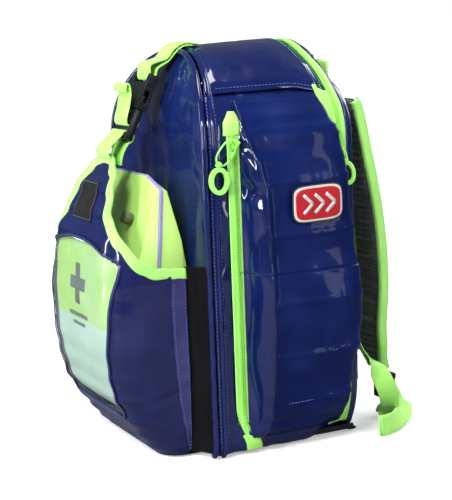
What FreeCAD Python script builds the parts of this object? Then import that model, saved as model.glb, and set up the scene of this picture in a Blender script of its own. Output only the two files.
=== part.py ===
"""Trauma backpack with a front pocket that carries a defibrillator.

Millimetres, +Z up. The origin is the middle of the base's underside. The front pocket faces -Y and
the harness is on +Y. Every separate piece is written as one STEP file in parts/.
"""
import FreeCAD
import Part

import math
import os

V = FreeCAD.Vector
os.makedirs("parts", exist_ok=True)

# ---- driving dimensions of the main body -------------------------------------------------------
HALF_WIDTH = 140.0        # of the bag's body, without its side pockets
SPRING_Z = 368.0          # where the straight sides turn into the arched top
CREST_Z = 490.0           # top of the arch
SHOULDER_R = 95.0         # radius of the arch's two shoulders
FOOT_R = 14.0             # radius of the outline's two bottom corners
WALL = 4.0                # padded laminate
FRONT_Y = -95.0           # outer face of the front panel
BAND_BACK_Y = 80.0        # where the walls end and the main zip begins
ZIP_MID_Y = 88.0          # the main zip's row of teeth
RIM_Y = 96.0              # front of the back panel
BASE_T = 6.0
GAP = 0.4                 # clearance between pieces that move apart

# ---- back panel and harness ----------------------------------------------------------------------
LINER_T = 1.5
BOARD_T = 2.5
OUTER_T = 4.0
PAD_T = 11.0
PAD_BACK_Y = RIM_Y + LINER_T + BOARD_T + OUTER_T + PAD_T
STRAP_X = 90.0            # middle of each shoulder strap
STRAP_W = 62.0
STRAP_T = 12.0
WEBBING_T = 1.6
HANDLE_TAPER = 1.2        # how fast the grab handle widens away from its sewn ends, so that it can tip
LOWER_WEBBING_W = 25.0

# ---- front pocket ----------------------------------------------------------------------------------
POCKET_HALF = 116.0
POCKET_DEPTH = 113.0      # from the front panel to the pocket's face
POCKET_T = 3.0
POCKET_RIM_Z = 225.0      # top edge of the pocket's sides
FACE_TOP_Z = 262.0        # where the pocket's face turns into the flap
FLAP_TIP = (-164.0, 352.0)
GUSSET_Y = -118.0         # front edge of the stretch gusset

# ---- side pockets ----------------------------------------------------------------------------------
SIDE_BULGE = 36.0
SIDE_T = 3.0
SIDE_HINGE_Y = 75.0
SIDE_ZIP_Y = -56.0
CREASE_Y = -30.0          # where the front gusset meets the quilted panel
ZIP_TOP_Z = 398.0
ZIP_BOTTOM_Z = 24.0

# ---- strap and buckle in front ---------------------------------------------------------------------
BUCKLE_AT = (-126.0, 411.5)        # (y, z) of the parting line
BUCKLE_LEAN = 27.0                 # degrees that the buckle's top leans back
FRONT_WEBBING_W = 38.0


# ====================================== shape helpers ==============================================
def save(name, *solids):
    """Writes one or more closed solids as a node of the model."""
    good = []
    for shape in solids:
        for solid in shape.Solids:
            if not solid.isValid() or solid.Volume <= 0:
                solid = solid.removeSplitter()
            assert solid.isValid() and solid.Volume > 0, name
            good.append(solid)
    assert good, name + " is empty"
    shape = good[0] if len(good) == 1 else Part.makeCompound(good)
    shape.exportStep("parts/" + name + ".step")
    return shape


def box(low, high):
    """A box between two corners."""
    return Part.makeBox(high[0] - low[0], high[1] - low[1], high[2] - low[2], V(*low))


def mirrored(shape):
    """The same piece on the other side of the bag."""
    return shape.mirror(V(0, 0, 0), V(1, 0, 0))


def plane_point(plane, a, b):
    """A point from its two coordinates in the named plane."""
    return {"xz": V(a, 0, b), "yz": V(0, a, b), "xy": V(a, b, 0)}[plane]


def plane_depth(plane, d):
    """A vector of length d at a right angle to the named plane."""
    return {"xz": V(0, d, 0), "yz": V(d, 0, 0), "xy": V(0, 0, d)}[plane]


def prism(plane, points, low, high):
    """A polygon in a plane, extruded between two depths."""
    ring = [plane_point(plane, a, b) + plane_depth(plane, low) for a, b in points]
    wire = Part.makePolygon(ring + ring[:1])
    return Part.Face(wire).extrude(plane_depth(plane, high - low))


def shoulder_angle(inset):
    """(sink, crown radius, angle): the arch's crown circle and where it meets the shoulder's circle."""
    rise = CREST_Z - SPRING_Z
    run = HALF_WIDTH - SHOULDER_R
    drop = rise - SHOULDER_R
    sink = (run ** 2 - drop ** 2) / (2 * drop)
    return sink, sink + rise - inset, math.atan2(sink, run)


def arch_edges(inset, foot_z, y):
    """The body's front outline, moved in by inset, as lines and tangent arcs."""
    sink, crown_r, angle = shoulder_angle(inset)
    half = HALF_WIDTH - inset
    shoulder_r = SHOULDER_R - inset
    foot_r = max(FOOT_R - inset, 1.0)

    def shoulder(turn, side):
        x = HALF_WIDTH - SHOULDER_R + shoulder_r * math.cos(turn)
        return V(side * x, y, SPRING_Z + shoulder_r * math.sin(turn))

    def foot(turn, side):
        x = half - foot_r + foot_r * math.cos(turn)
        return V(side * x, y, foot_z + foot_r - foot_r * math.sin(turn))

    crown = V(0, y, SPRING_Z - sink + crown_r)
    right, left = 1, -1
    return [
        Part.LineSegment(foot(0, right), shoulder(0, right)).toShape(),
        Part.Arc(shoulder(0, right), shoulder(angle / 2, right), shoulder(angle, right)).toShape(),
        Part.Arc(shoulder(angle, right), crown, shoulder(angle, left)).toShape(),
        Part.Arc(shoulder(angle, left), shoulder(angle / 2, left), shoulder(0, left)).toShape(),
        Part.LineSegment(shoulder(0, left), foot(0, left)).toShape(),
        Part.Arc(foot(0, left), foot(math.pi / 4, left), foot(math.pi / 2, left)).toShape(),
        Part.LineSegment(foot(math.pi / 2, left), foot(math.pi / 2, right)).toShape(),
        Part.Arc(foot(math.pi / 2, right), foot(math.pi / 4, right), foot(0, right)).toShape(),
    ]


def arch_plate(inset, foot_z, low_y, high_y):
    """A plate with the body's outline."""
    face = Part.Face(Part.Wire(arch_edges(inset, foot_z, low_y)))
    return face.extrude(V(0, high_y - low_y, 0))


def arch_band(outer_inset, inner_inset, low_y, high_y):
    """A closed band round the body's outline."""
    outside = arch_plate(outer_inset, outer_inset, low_y, high_y)
    return outside.cut(arch_plate(inner_inset, inner_inset, low_y - 1, high_y + 1))


def body_half_width(z):
    """Half the body's width at a height."""
    if z <= SPRING_Z:
        return HALF_WIDTH
    sink, crown_r, angle = shoulder_angle(0)
    if z < SPRING_Z + SHOULDER_R * math.sin(angle):
        return HALF_WIDTH - SHOULDER_R + math.sqrt(SHOULDER_R ** 2 - (z - SPRING_Z) ** 2)
    return math.sqrt(max(crown_r ** 2 - (z - SPRING_Z + sink) ** 2, 0))


def side_of_path(plane, points, offset, radii):
    """Edges of a path of runs and tangent arcs, moved sideways by offset in its plane."""
    flat = [FreeCAD.Vector(a, b, 0) for a, b in points]
    edges = []
    start = None
    for i, point in enumerate(flat):
        into = (point - flat[i - 1]).normalize() if i else (flat[1] - point).normalize()
        out = (flat[i + 1] - point).normalize() if i < len(flat) - 1 else into
        side_in = V(-into.y, into.x, 0) * offset
        side_out = V(-out.y, out.x, 0) * offset
        turn = into.getAngle(out)
        if i in (0, len(flat) - 1) or turn < 1e-4:
            here = point + side_out
            if start is not None:
                edges.append((start, None, here))
            start = here
            continue
        reach = radii[i] * math.tan(turn / 2)
        enter = point - into * reach
        leave = point + out * reach
        normal = (out - into).normalize()
        centre = point + normal * math.hypot(radii[i], reach)
        middle_out = (point - centre).normalize()
        bend = 1 if (V(-into.y, into.x, 0) * normal) > 0 else -1
        middle = centre + middle_out * (radii[i] - bend * offset)
        edges.append((start, None, enter + side_in))
        edges.append((enter + side_in, middle, leave + side_out))
        start = leave + side_out
    return [[plane_point(plane, p.x, p.y) if p else None for p in edge] for edge in edges]


def corner_radii(points, share=0.45, cap=None):
    """The largest arc that each corner of a path leaves room for."""
    radii = [0.0] * len(points)
    for i in range(1, len(points) - 1):
        a, b, c = (FreeCAD.Vector(*points[k]) for k in (i - 1, i, i + 1))
        turn = (b - a).getAngle(c - b)
        short = min((b - a).Length, (c - b).Length)
        radii[i] = share * short / math.tan(max(turn, 1e-3) / 2)
        if cap:
            radii[i] = min(radii[i], cap)
    return radii


def strip(plane, points, thickness, low, high, cap=None, shift=0.0):
    """A flat strip that follows a path in a plane, or runs beside it by shift, between two depths."""
    radii = corner_radii([(a, b, 0) for a, b in points], cap=cap)
    outer = side_of_path(plane, points, shift + thickness / 2, radii)
    inner = side_of_path(plane, points, shift - thickness / 2, radii)
    ring = outer + [[outer[-1][2], None, inner[-1][2]]]
    ring += [[e[2], e[1], e[0]] for e in reversed(inner)] + [[inner[0][0], None, outer[0][0]]]
    depth = plane_depth(plane, low)
    edges = []
    for a, m, b in ring:
        if (b - a).Length < 1e-4:
            continue
        if m is None:
            edges.append(Part.LineSegment(a + depth, b + depth).toShape())
        else:
            edges.append(Part.Arc(a + depth, m + depth, b + depth).toShape())
    face = Part.Face(Part.Wire(Part.__sortEdges__(edges)))
    return face.extrude(plane_depth(plane, high - low))


def tube(points, radius, share=0.45):
    """A round tube along straight runs joined by tangent arcs. Also returns its length."""
    points = [V(*p) for p in points]
    radii = corner_radii(points, share)
    edges = []
    start = points[0]
    for i in range(1, len(points) - 1):
        into = (points[i] - points[i - 1]).normalize()
        out = (points[i + 1] - points[i]).normalize()
        reach = radii[i] * math.tan(into.getAngle(out) / 2)
        enter = points[i] - into * reach
        leave = points[i] + out * reach
        normal = (out - into).normalize()
        centre = points[i] + normal * math.hypot(radii[i], reach)
        middle = centre + (points[i] - centre).normalize() * radii[i]
        edges.append(Part.LineSegment(start, enter).toShape())
        edges.append(Part.Arc(enter, middle, leave).toShape())
        start = leave
    edges.append(Part.LineSegment(start, points[-1]).toShape())
    spine = Part.Wire(edges)
    profile = Part.Wire(Part.makeCircle(radius, points[0], points[1] - points[0]))
    print("tube radii", [round(r, 1) for r in radii[1:-1]], "length", round(spine.Length, 1))
    return spine.makePipeShell([profile], True, True), spine.Length


def loft(rings, ruled=False):
    """A closed solid through polygons or wires."""
    wires = [r if isinstance(r, Part.Wire) else Part.makePolygon(r + r[:1]) for r in rings]
    return Part.makeLoft(wires, True, ruled)


# ========================================= main body ===============================================
def main_body():
    """The arched case: front panel, top panel, two walls, base, piping and the main zip's front half."""
    save("front_panel", arch_plate(0, 0, FRONT_Y, FRONT_Y + WALL))
    band = arch_band(0, WALL, FRONT_Y + WALL, BAND_BACK_Y)
    wide = HALF_WIDTH + 10
    above = box((-wide, FRONT_Y, SPRING_Z), (wide, RIM_Y, CREST_Z + 10))
    save("top_panel", band.common(above))
    walls = []
    for side in (1, -1):
        low_x, high_x = sorted((side * (HALF_WIDTH - 2 * WALL), side * wide))
        walls.append(band.common(box((low_x, FRONT_Y, BASE_T), (high_x, RIM_Y, SPRING_Z))))
    save("side_walls", *walls)
    base_outline = arch_plate(0, 0, FRONT_Y + WALL, RIM_Y - GAP)
    save("base_panel", base_outline.common(box((-wide, FRONT_Y, 0), (wide, RIM_Y, BASE_T))))
    piping = arch_band(-2.0, 1.0, FRONT_Y - 2.5, FRONT_Y - 0.01)
    save("front_piping", piping.common(box((-wide, FRONT_Y - 5, 6), (wide, FRONT_Y, CREST_Z + 10))))
    above_base = box((-wide, FRONT_Y, FOOT_R), (wide, RIM_Y, CREST_Z + 10))
    tape = arch_band(0, 1.6, BAND_BACK_Y, ZIP_MID_Y - 0.2).common(above_base)
    save("main_zip_tape_front", tape)


def organiser():
    """The sheet of pouches that hangs inside, behind the front panel."""
    back = FRONT_Y + WALL + 2
    sheet = arch_plate(WALL + 6, WALL + 10, back, back + 2)
    for low, high in ((30, 150), (175, 285)):
        sheet = sheet.fuse(box((-118, back + 1, low), (118, back + 12, high)))
    save("inner_organiser", sheet.removeSplitter())


def back_panel():
    """The back of the case: liner, stiffening board, outer skin, pads, yoke and the zip's back half."""
    y = RIM_Y
    save("back_liner", arch_plate(1.0, 8.0, y, y + LINER_T))
    save("frame_board", arch_plate(6.0, 14.0, y + LINER_T, y + LINER_T + BOARD_T))
    skin_y = y + LINER_T + BOARD_T
    save("back_skin", arch_plate(0, 7.0, skin_y, skin_y + OUTER_T))
    wide = HALF_WIDTH + 10
    above_base = box((-wide, FRONT_Y, FOOT_R), (wide, RIM_Y, CREST_Z + 10))
    tape = arch_band(0, 1.6, ZIP_MID_Y + 0.2, RIM_Y).common(above_base)
    save("main_zip_tape_back", tape)
    pad_y = skin_y + OUTER_T
    pads = []
    for side in (1, -1):
        outline = [(14, 150), (104, 150), (112, 170), (112, 330), (96, 352), (14, 352)]
        pads.append(prism("xz", [(side * a, b) for a, b in outline], pad_y, pad_y + PAD_T))
    save("back_pads", *pads)
    lumbar = [(-72, 46), (-58, 30), (58, 30), (72, 46), (72, 118), (58, 134), (-58, 134), (-72, 118)]
    save("lumbar_pad", prism("xz", lumbar, pad_y, pad_y + PAD_T + 5))
    yoke = [(-118, 372), (118, 372), (118, 400), (92, 428), (-92, 428), (-118, 400)]
    save("harness_yoke", prism("xz", yoke, pad_y, pad_y + 4))
    anchors = []
    for side in (1, -1):
        wing = [(side * x, z) for x, z in ((76, 84), (104, 84), (132, 60), (132, 136), (104, 118), (76, 118))]
        anchors.append(prism("xz", wing, pad_y, pad_y + 3))
    save("strap_anchors", *anchors)


# ======================================== front pocket =============================================
def pocket_ring(z, half, depth, inset, corner):
    """The pocket's outline in plan at one height: a D with rounded front corners."""
    half, depth, corner = half - inset, depth - inset, corner - inset
    front = FRONT_Y - depth
    back = FRONT_Y - 0.3
    turn = corner * (1 - math.sqrt(0.5))
    edges = [
        Part.LineSegment(V(half, back, z), V(half, front + corner, z)).toShape(),
        Part.Arc(V(half, front + corner, z), V(half - turn, front + turn, z),
                 V(half - corner, front, z)).toShape(),
        Part.LineSegment(V(half - corner, front, z), V(corner - half, front, z)).toShape(),
        Part.Arc(V(corner - half, front, z), V(turn - half, front + turn, z),
                 V(-half, front + corner, z)).toShape(),
        Part.LineSegment(V(-half, front + corner, z), V(-half, back, z)).toShape(),
        Part.LineSegment(V(-half, back, z), V(half, back, z)).toShape(),
    ]
    return Part.Wire(edges)


def pocket_block(inset):
    """The solid that the pocket's outer skin wraps, moved in by inset."""
    levels = [
        (1.5 + inset, POCKET_HALF - 10, 56, 26),
        (14 + inset * 0.6, POCKET_HALF - 6, 80, 34),
        (42 + inset * 0.3, POCKET_HALF - 3, 102, 38),
        (90, POCKET_HALF, POCKET_DEPTH - 2, 40),
        (180, POCKET_HALF, POCKET_DEPTH, 40),
        (FACE_TOP_Z, POCKET_HALF - 4, POCKET_DEPTH - 4, 40),
    ]
    rings = [pocket_ring(z, half, depth, inset, corner) for z, half, depth, corner in levels]
    return loft(rings, ruled=True)


def front_pocket():
    """The pocket's skin, cut into the panels it is sewn from, with its gussets, window and binding."""
    skin = pocket_block(0).cut(pocket_block(POCKET_T))
    skin = skin.cut(pocket_block(POCKET_T).translate(V(0, 0, 12)).common(
        box((-200, -300, 150), (200, 0, 400))))
    face_y = FRONT_Y - POCKET_DEPTH + 40
    floor_z = 16.0
    side_zone = box((60, face_y, floor_z), (200, GUSSET_Y, POCKET_RIM_Z))
    gusset_zone = box((60, GUSSET_Y, floor_z), (200, FRONT_Y, POCKET_RIM_Z))
    save("pocket_sides", skin.common(side_zone), skin.common(mirrored(side_zone)))
    save("pocket_gussets", skin.common(gusset_zone), skin.common(mirrored(gusset_zone)))
    save("pocket_floor", skin.common(box((-200, -300, 0), (200, FRONT_Y, floor_z))))
    face = skin.common(box((-200, -300, floor_z), (200, face_y, FACE_TOP_Z)))
    hole = prism("xz", [(-84, 52), (84, 52), (90, 200), (84, 222), (50, 250), (-50, 250), (-84, 222),
                        (-90, 200)], -260, -180)
    save("pocket_face", face.cut(hole))
    window = face.common(hole)
    save("pocket_window", window)


FLAP_PROFILE = [(-204, FACE_TOP_Z + 0.3), (-195, 290), (-184, 318), FLAP_TIP]


def flap_outline(grow):
    """The flap's outline seen from the front, grown outwards."""
    half = [(98 + grow, FACE_TOP_Z), (84 + grow, 280), (78 + grow, 304), (64 + grow, 330),
            (46 + grow, 343 + grow * 0.7), (20, 350 + grow)]
    return half + [(-x, z) for x, z in reversed(half)]


def pocket_flap():
    """The tongue that the pocket's face ends in, its binding and the plain label on it."""
    widest = POCKET_HALF
    cloth_zone = prism("xz", flap_outline(-5), -260, -120)
    edge_zone = prism("xz", flap_outline(0), -260, -120).cut(cloth_zone)
    above_face = box((-widest, -260, FACE_TOP_Z + 0.4), (widest, -120, CREST_Z))
    save("pocket_flap", strip("yz", FLAP_PROFILE, 3.0, -widest, widest).common(cloth_zone))
    binding = strip("yz", FLAP_PROFILE, 5.2, -widest, widest).common(edge_zone)
    rim_front = FRONT_Y - POCKET_DEPTH + 40
    rims = []
    for side in (1, -1):
        low_x, high_x = sorted((side * (POCKET_HALF - 5.2), side * (POCKET_HALF + 0.4)))
        rims.append(box((low_x, rim_front, POCKET_RIM_Z + 0.3), (high_x, FRONT_Y - 2, POCKET_RIM_Z + 5.7)))
    save("pocket_binding", binding.common(above_face), *rims)
    label_zone = prism("xz", [(-34, 284), (34, 284), (34, 330), (-34, 330)], -260, -120)
    label = strip("yz", FLAP_PROFILE, 1.4, -widest, widest, shift=2.3)
    save("flap_label", label.common(label_zone))


AED_SEAM = (-132.0, 320.0)         # (y, z) of the top of the device's seam
AED_LEAN = 5.7                     # degrees


def defibrillator():
    """The device in the pocket: two half cases with a gasket between them, and a latch knob."""
    seam_z = AED_SEAM[1]
    outline = [(-90, 58), (90, 58), (92, 225), (88, seam_z), (45, 334), (-45, 334), (-88, seam_z),
               (-92, 225)]

    def half_case(profile, taper, deep):
        near = [V(x, 0, z) for x, z in outline]
        far = [V(x * taper, deep, z) for x, z in outline]
        return prism("yz", profile, -100, 100).common(loft([near, far], True))

    def place(shape):
        shape.rotate(V(0, 0, seam_z), V(1, 0, 0), -AED_LEAN)
        shape.translate(V(0, AED_SEAM[0], 0))
        return shape

    front = half_case([(-2, 58), (-30, 60), (-42, 90), (-44, 150), (-28, 226), (-3, 332), (-2, 340)],
                      0.96, -60)
    back = half_case([(2, 58), (48, 60), (50, 120), (44, 200), (29, 262), (4, 330), (2, 340)],
                     0.97, 60)
    gasket = prism("xz", [(x * 1.016, z + (1.4 if z > 100 else -1.4)) for x, z in outline], -2, 2)
    knob = Part.makeCylinder(7.5, 9.0, V(40, -18, 282), V(0, -0.97, 0.24))
    save("aed_latch_knob", place(knob.cut(front)))
    save("aed_case_front", place(front))
    save("aed_case_back", place(back))
    save("aed_gasket", place(gasket))


# ===================================== strap over the pocket =======================================
def strap_frame(shape):
    """Carries a shape from the buckle's own frame (+Z along the strap) to its place."""
    shape = shape.copy()
    shape.rotate(V(0, 0, 0), V(1, 0, 0), -BUCKLE_LEAN)
    shape.translate(V(0, *BUCKLE_AT))
    return shape


def strap_point(v, u):
    """(y, z) of a point v in front of the strap's middle and u along it."""
    lean = math.radians(BUCKLE_LEAN)
    y = -v * math.cos(lean) + u * math.sin(lean)
    z = v * math.sin(lean) + u * math.cos(lean)
    return BUCKLE_AT[0] + y, BUCKLE_AT[1] + z


def front_strap():
    """Side-release buckle, its two lengths of webbing and the strap's loose tail."""
    socket = box((-24, -7, 0), (24, 7, 45)).cut(box((-19.5, -4.2, -1), (19.5, 4.2, 28)))
    socket = socket.cut(box((-25, -3.6, 9), (25, 3.6, 24)))
    socket = socket.cut(box((-19.8, -8, 33), (19.8, 8, 40.5)))
    for low, high in ((-8, -2.2), (2.2, 8)):
        socket = socket.cut(box((-19.8, low, 40), (19.8, high, 46)))
    save("buckle_socket", strap_frame(socket))
    tongue = box((-22, -5, -40), (22, 5, -GAP)).fuse(box((-4, -3.2, -2), (4, 3.2, 22)))
    for side in (1, -1):
        prong = [(side * 10, -2), (side * 10, 20), (side * 13, 24), (side * 18.6, 18), (side * 17, -2)]
        tongue = tongue.fuse(prism("xz", prong, -3.2, 3.2))
    for low, high in ((-36, -31), (-24, -18)):
        tongue = tongue.cut(box((-19.8, -8, low), (19.8, 8, high)))
    save("buckle_tongue", strap_frame(tongue.removeSplitter()))
    half = FRONT_WEBBING_W / 2
    loop = [strap_point(v, u) for v, u in ((8.6, 53), (3.6, 46), (3.4, 38.4), (-3.4, 38.4), (-3.4, 47))]
    seam_y, seam_z = FRONT_Y - 3.5, 474.0
    points = [(seam_y - 3.5, seam_z)] + loop + [(seam_y, seam_z - 6)]
    save("upper_webbing", strip("yz", points, WEBBING_T, -half, half, cap=6.0))
    tip_y, tip_z = FLAP_TIP
    sewn_y, sewn_z = FLAP_PROFILE[2]
    low_points = [(sewn_y - 5.5, sewn_z + 6), (tip_y - 5.6, tip_z + 1), (tip_y + 1, tip_z + 17),
                  strap_point(7.4, -37), strap_point(6.4, -33), strap_point(0, -32.4)]
    save("lower_webbing", strip("yz", low_points, WEBBING_T, -half, half, cap=7.0))
    tail_points = [strap_point(v, u) for v, u in ((0, -21.5), (8, -21.5), (14.5, -32), (20, -30),
                                                  (26, -12), (31, 2))]
    save("strap_tail", strip("yz", tail_points, WEBBING_T, -half, half, cap=5.0))


# ======================================== side pockets =============================================
def side_ring(z, bulge, inset):
    """The side pocket's outline in plan: a thin D against the body's wall."""
    wall = body_half_width(z) + GAP
    lift = max(bulge - inset, 0.5)
    crease = CREASE_Y + inset * 0.4
    back = SIDE_HINGE_Y - inset
    front = SIDE_ZIP_Y + 3 + inset
    return [V(wall, front, z), V(wall + lift * 0.30, front + 1.0, z), V(wall + lift, crease, z),
            V(wall + lift, back - 22, z), V(wall + lift * 0.62, back - 4, z), V(wall, back, z)]


def side_block(inset):
    """The solid that the side pocket wraps, moved in by inset."""
    low = 20 + inset
    high = 424 - inset
    levels = [(low, 7), (48, SIDE_BULGE * 0.72), (84, SIDE_BULGE), (330, SIDE_BULGE),
              (378, SIDE_BULGE * 0.72), (high, 5)]
    return loft([side_ring(z, bulge, inset) for z, bulge in levels], ruled=True)


def side_pockets():
    """Both pockets: a quilted panel that swings on its back seam, its front gusset, and the zips."""
    outer = side_block(0).cut(arch_plate(-GAP, -20, FRONT_Y, RIM_Y))
    hollow = side_block(SIDE_T).fuse(side_block(SIDE_T).translate(V(-6, 0, 0)))
    shell = outer.cut(hollow)
    front_zone = box((100, SIDE_ZIP_Y - 20, 0), (220, CREASE_Y, 500))
    gusset = shell.common(front_zone)
    panel = shell.cut(front_zone)
    tape_y = SIDE_ZIP_Y
    door_tape = box((HALF_WIDTH + GAP, tape_y + 0.3, 46), (HALF_WIDTH + 2.0, tape_y + 2.7, 360))
    tape_zone = box((100, tape_y - 12, ZIP_BOTTOM_Z), (200, tape_y, ZIP_TOP_Z))
    wall_tape = arch_band(-1.7, -0.1, tape_y - 12, tape_y).common(tape_zone)
    badge_x = HALF_WIDTH + GAP + SIDE_BULGE
    badge = prism("yz", [(0, 289), (56, 289), (61, 294), (61, 328), (56, 333), (0, 333), (-5, 328),
                         (-5, 294)], badge_x, badge_x + 2.0)
    save("side_badge", badge)
    for name, flip in (("right", False), ("left", True)):
        pieces = {"side_pocket_panel_": panel, "side_pocket_gusset_": gusset,
                  "pocket_zip_tape_": door_tape}
        for prefix, shape in pieces.items():
            save(prefix + name, mirrored(shape) if flip else shape)
    save("wall_zip_tapes", wall_tape, mirrored(wall_tape))


def zip_garages():
    """The folded webbing at the top of each side zip, and the tab at its foot."""
    y = SIDE_ZIP_Y - 5
    peak = [(y - 8, 386), (y + 8, 386), (y + 8, 398), (y, 411), (y - 8, 398)]
    top = arch_band(-4.6, -2.0, y - 10, y + 10).common(prism("yz", peak, 100, 200))
    foot_ring = [(y - 7, 4), (y + 5, 2.5), (y + 5, 23), (y - 7, 23)]
    foot = prism("yz", foot_ring, HALF_WIDTH + 0.1, HALF_WIDTH + 2.6)
    save("zip_garages", top, foot, mirrored(top), mirrored(foot))


# ====================================== sliders and pulls ==========================================
PULL_X = HALF_WIDTH + 7.2           # the plane that the side zip's cord and ring hang in
PULL_CORD_R = 1.1
PULL_LEAN = 40.0                    # degrees that the side zip's cord loop leans towards the front
SIDE_SLIDER = (HALF_WIDTH + 2.4, SIDE_ZIP_Y - 5.4, 372.7)
MAIN_SLIDER = (HALF_WIDTH + 0.4, ZIP_MID_Y + 2.0, 352.0)
LOOP_RUN = 9.0                      # side of the half hexagons at the cord loop's two ends


def pull_route():
    """The cord's loop as it hangs straight down: through the slider's eye and the ring's barrel."""
    step_y = LOOP_RUN * math.cos(math.radians(30))
    step_z = LOOP_RUN * math.sin(math.radians(30))
    near_y = SIDE_SLIDER[1] + 3.0
    top_z, low_z = SIDE_SLIDER[2] - 1.8, 345.0
    route = [(near_y, 362.2), (near_y, top_z), (near_y - step_y, top_z + step_z),
             (near_y - 2 * step_y, top_z), (near_y - 2 * step_y - 1.5, (top_z + low_z) / 2),
             (near_y - 2 * step_y, low_z), (near_y - step_y, low_z - step_z), (near_y, low_z),
             (near_y + 0.5, 353.8)]
    return route


def leaned(y, z):
    """(x, y, z) of a point of the hanging loop after it has leaned about the slider's eye."""
    lean = math.radians(PULL_LEAN)
    along, up = y - SIDE_SLIDER[1], z - SIDE_SLIDER[2]
    return (PULL_X, SIDE_SLIDER[1] + along * math.cos(lean) + up * math.sin(lean),
            SIDE_SLIDER[2] - along * math.sin(lean) + up * math.cos(lean))


def oval_ring(x, y, z, tall, wide, thick):
    """An oval finger ring lying in a plane at a right angle to X."""
    outer = Part.Ellipse(V(0, 0, 0), tall / 2, wide / 2)
    inner = Part.Ellipse(V(0, 0, 0), tall / 2 - 5.2, wide / 2 - 5.0)
    faces = [Part.Face(Part.Wire(e.toShape())) for e in (outer, inner)]
    ring = faces[0].cut(faces[1]).extrude(V(0, 0, thick))
    ring.translate(V(0, 0, -thick / 2))
    ring.rotate(V(0, 0, 0), V(0, 1, 0), -90)
    ring.translate(V(x, y, z))
    return ring


def slider(x, y, z, reach, lean):
    """A zip slider: a wedge-shaped body over the teeth and an eye for its pull."""
    body = prism("yz", [(y - 5, z - 6), (y - 3.4, z + 7), (y + 3.4, z + 7), (y + 5, z - 6)], x, x + 2.6)
    eye = box((x + 2.5, y - 1.4, z - 5), (x + reach, y + 1.4, z + 5))
    eye = eye.cut(box((x + 2.6, y - 3, z - 3.2), (x + reach - 1.3, y + 3, z + 3.2)))
    eye.rotate(V(x, y, z), V(1, 0, 0), -lean)
    return body.fuse(eye)


def sliders():
    """One slider and pull on each side pocket's zip, and one on each side of the main zip."""
    route = pull_route()
    cord, length = tube([leaned(y, z) for y, z in route], PULL_CORD_R)
    expected = math.pi * PULL_CORD_R ** 2 * length
    assert abs(cord.Volume / expected - 1) < 0.03, (cord.Volume, expected)
    hang_y, hang_z = route[6][0], route[6][1] + 1.1
    tall, wide, thick = 32.0, 25.0, 4.2
    middle, barrel_end, bore_end = (V(*leaned(hang_y + off, hang_z)) for off in (0, -2.2, -12))
    axis = middle - bore_end
    barrel = Part.makeCylinder(3.6, 4.4, barrel_end, axis)
    side_pull = oval_ring(PULL_X, middle.y, middle.z - 3.0 - tall / 2, tall, wide, thick).fuse(barrel)
    side_pull = side_pull.cut(Part.makeCylinder(1.9, 24, bore_end, axis))
    print("side pull hinge", [round(c, 2) for c in middle], [round(c, 4) for c in axis.normalize()])

    tall, wide, thick = 30.0, 22.0, 3.2
    x = MAIN_SLIDER[0] + 2.6 + 2.35
    y = MAIN_SLIDER[1]
    ring_z = MAIN_SLIDER[2] - tall / 2 - 9.8
    neck = box((x - thick / 2, y - 5, ring_z + tall / 2 - 3), (x + thick / 2, y + 5, ring_z + tall / 2 + 11))
    hole = Part.makeCylinder(2.9, 10, V(x - 5, y, ring_z + tall / 2 + 5.7), V(1, 0, 0))
    main_pull = oval_ring(x, y, ring_z, tall, wide, thick).fuse(neck).cut(hole)
    nodes = {"side_slider_": slider(*SIDE_SLIDER, 7.6, PULL_LEAN), "pull_cord_": cord,
             "ring_pull_": side_pull.removeSplitter(), "main_slider_": slider(*MAIN_SLIDER, 8.6, 0),
             "main_pull_": main_pull.removeSplitter()}
    for prefix, shape in nodes.items():
        save(prefix + "right", shape)
        save(prefix + "left", mirrored(shape))


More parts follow.
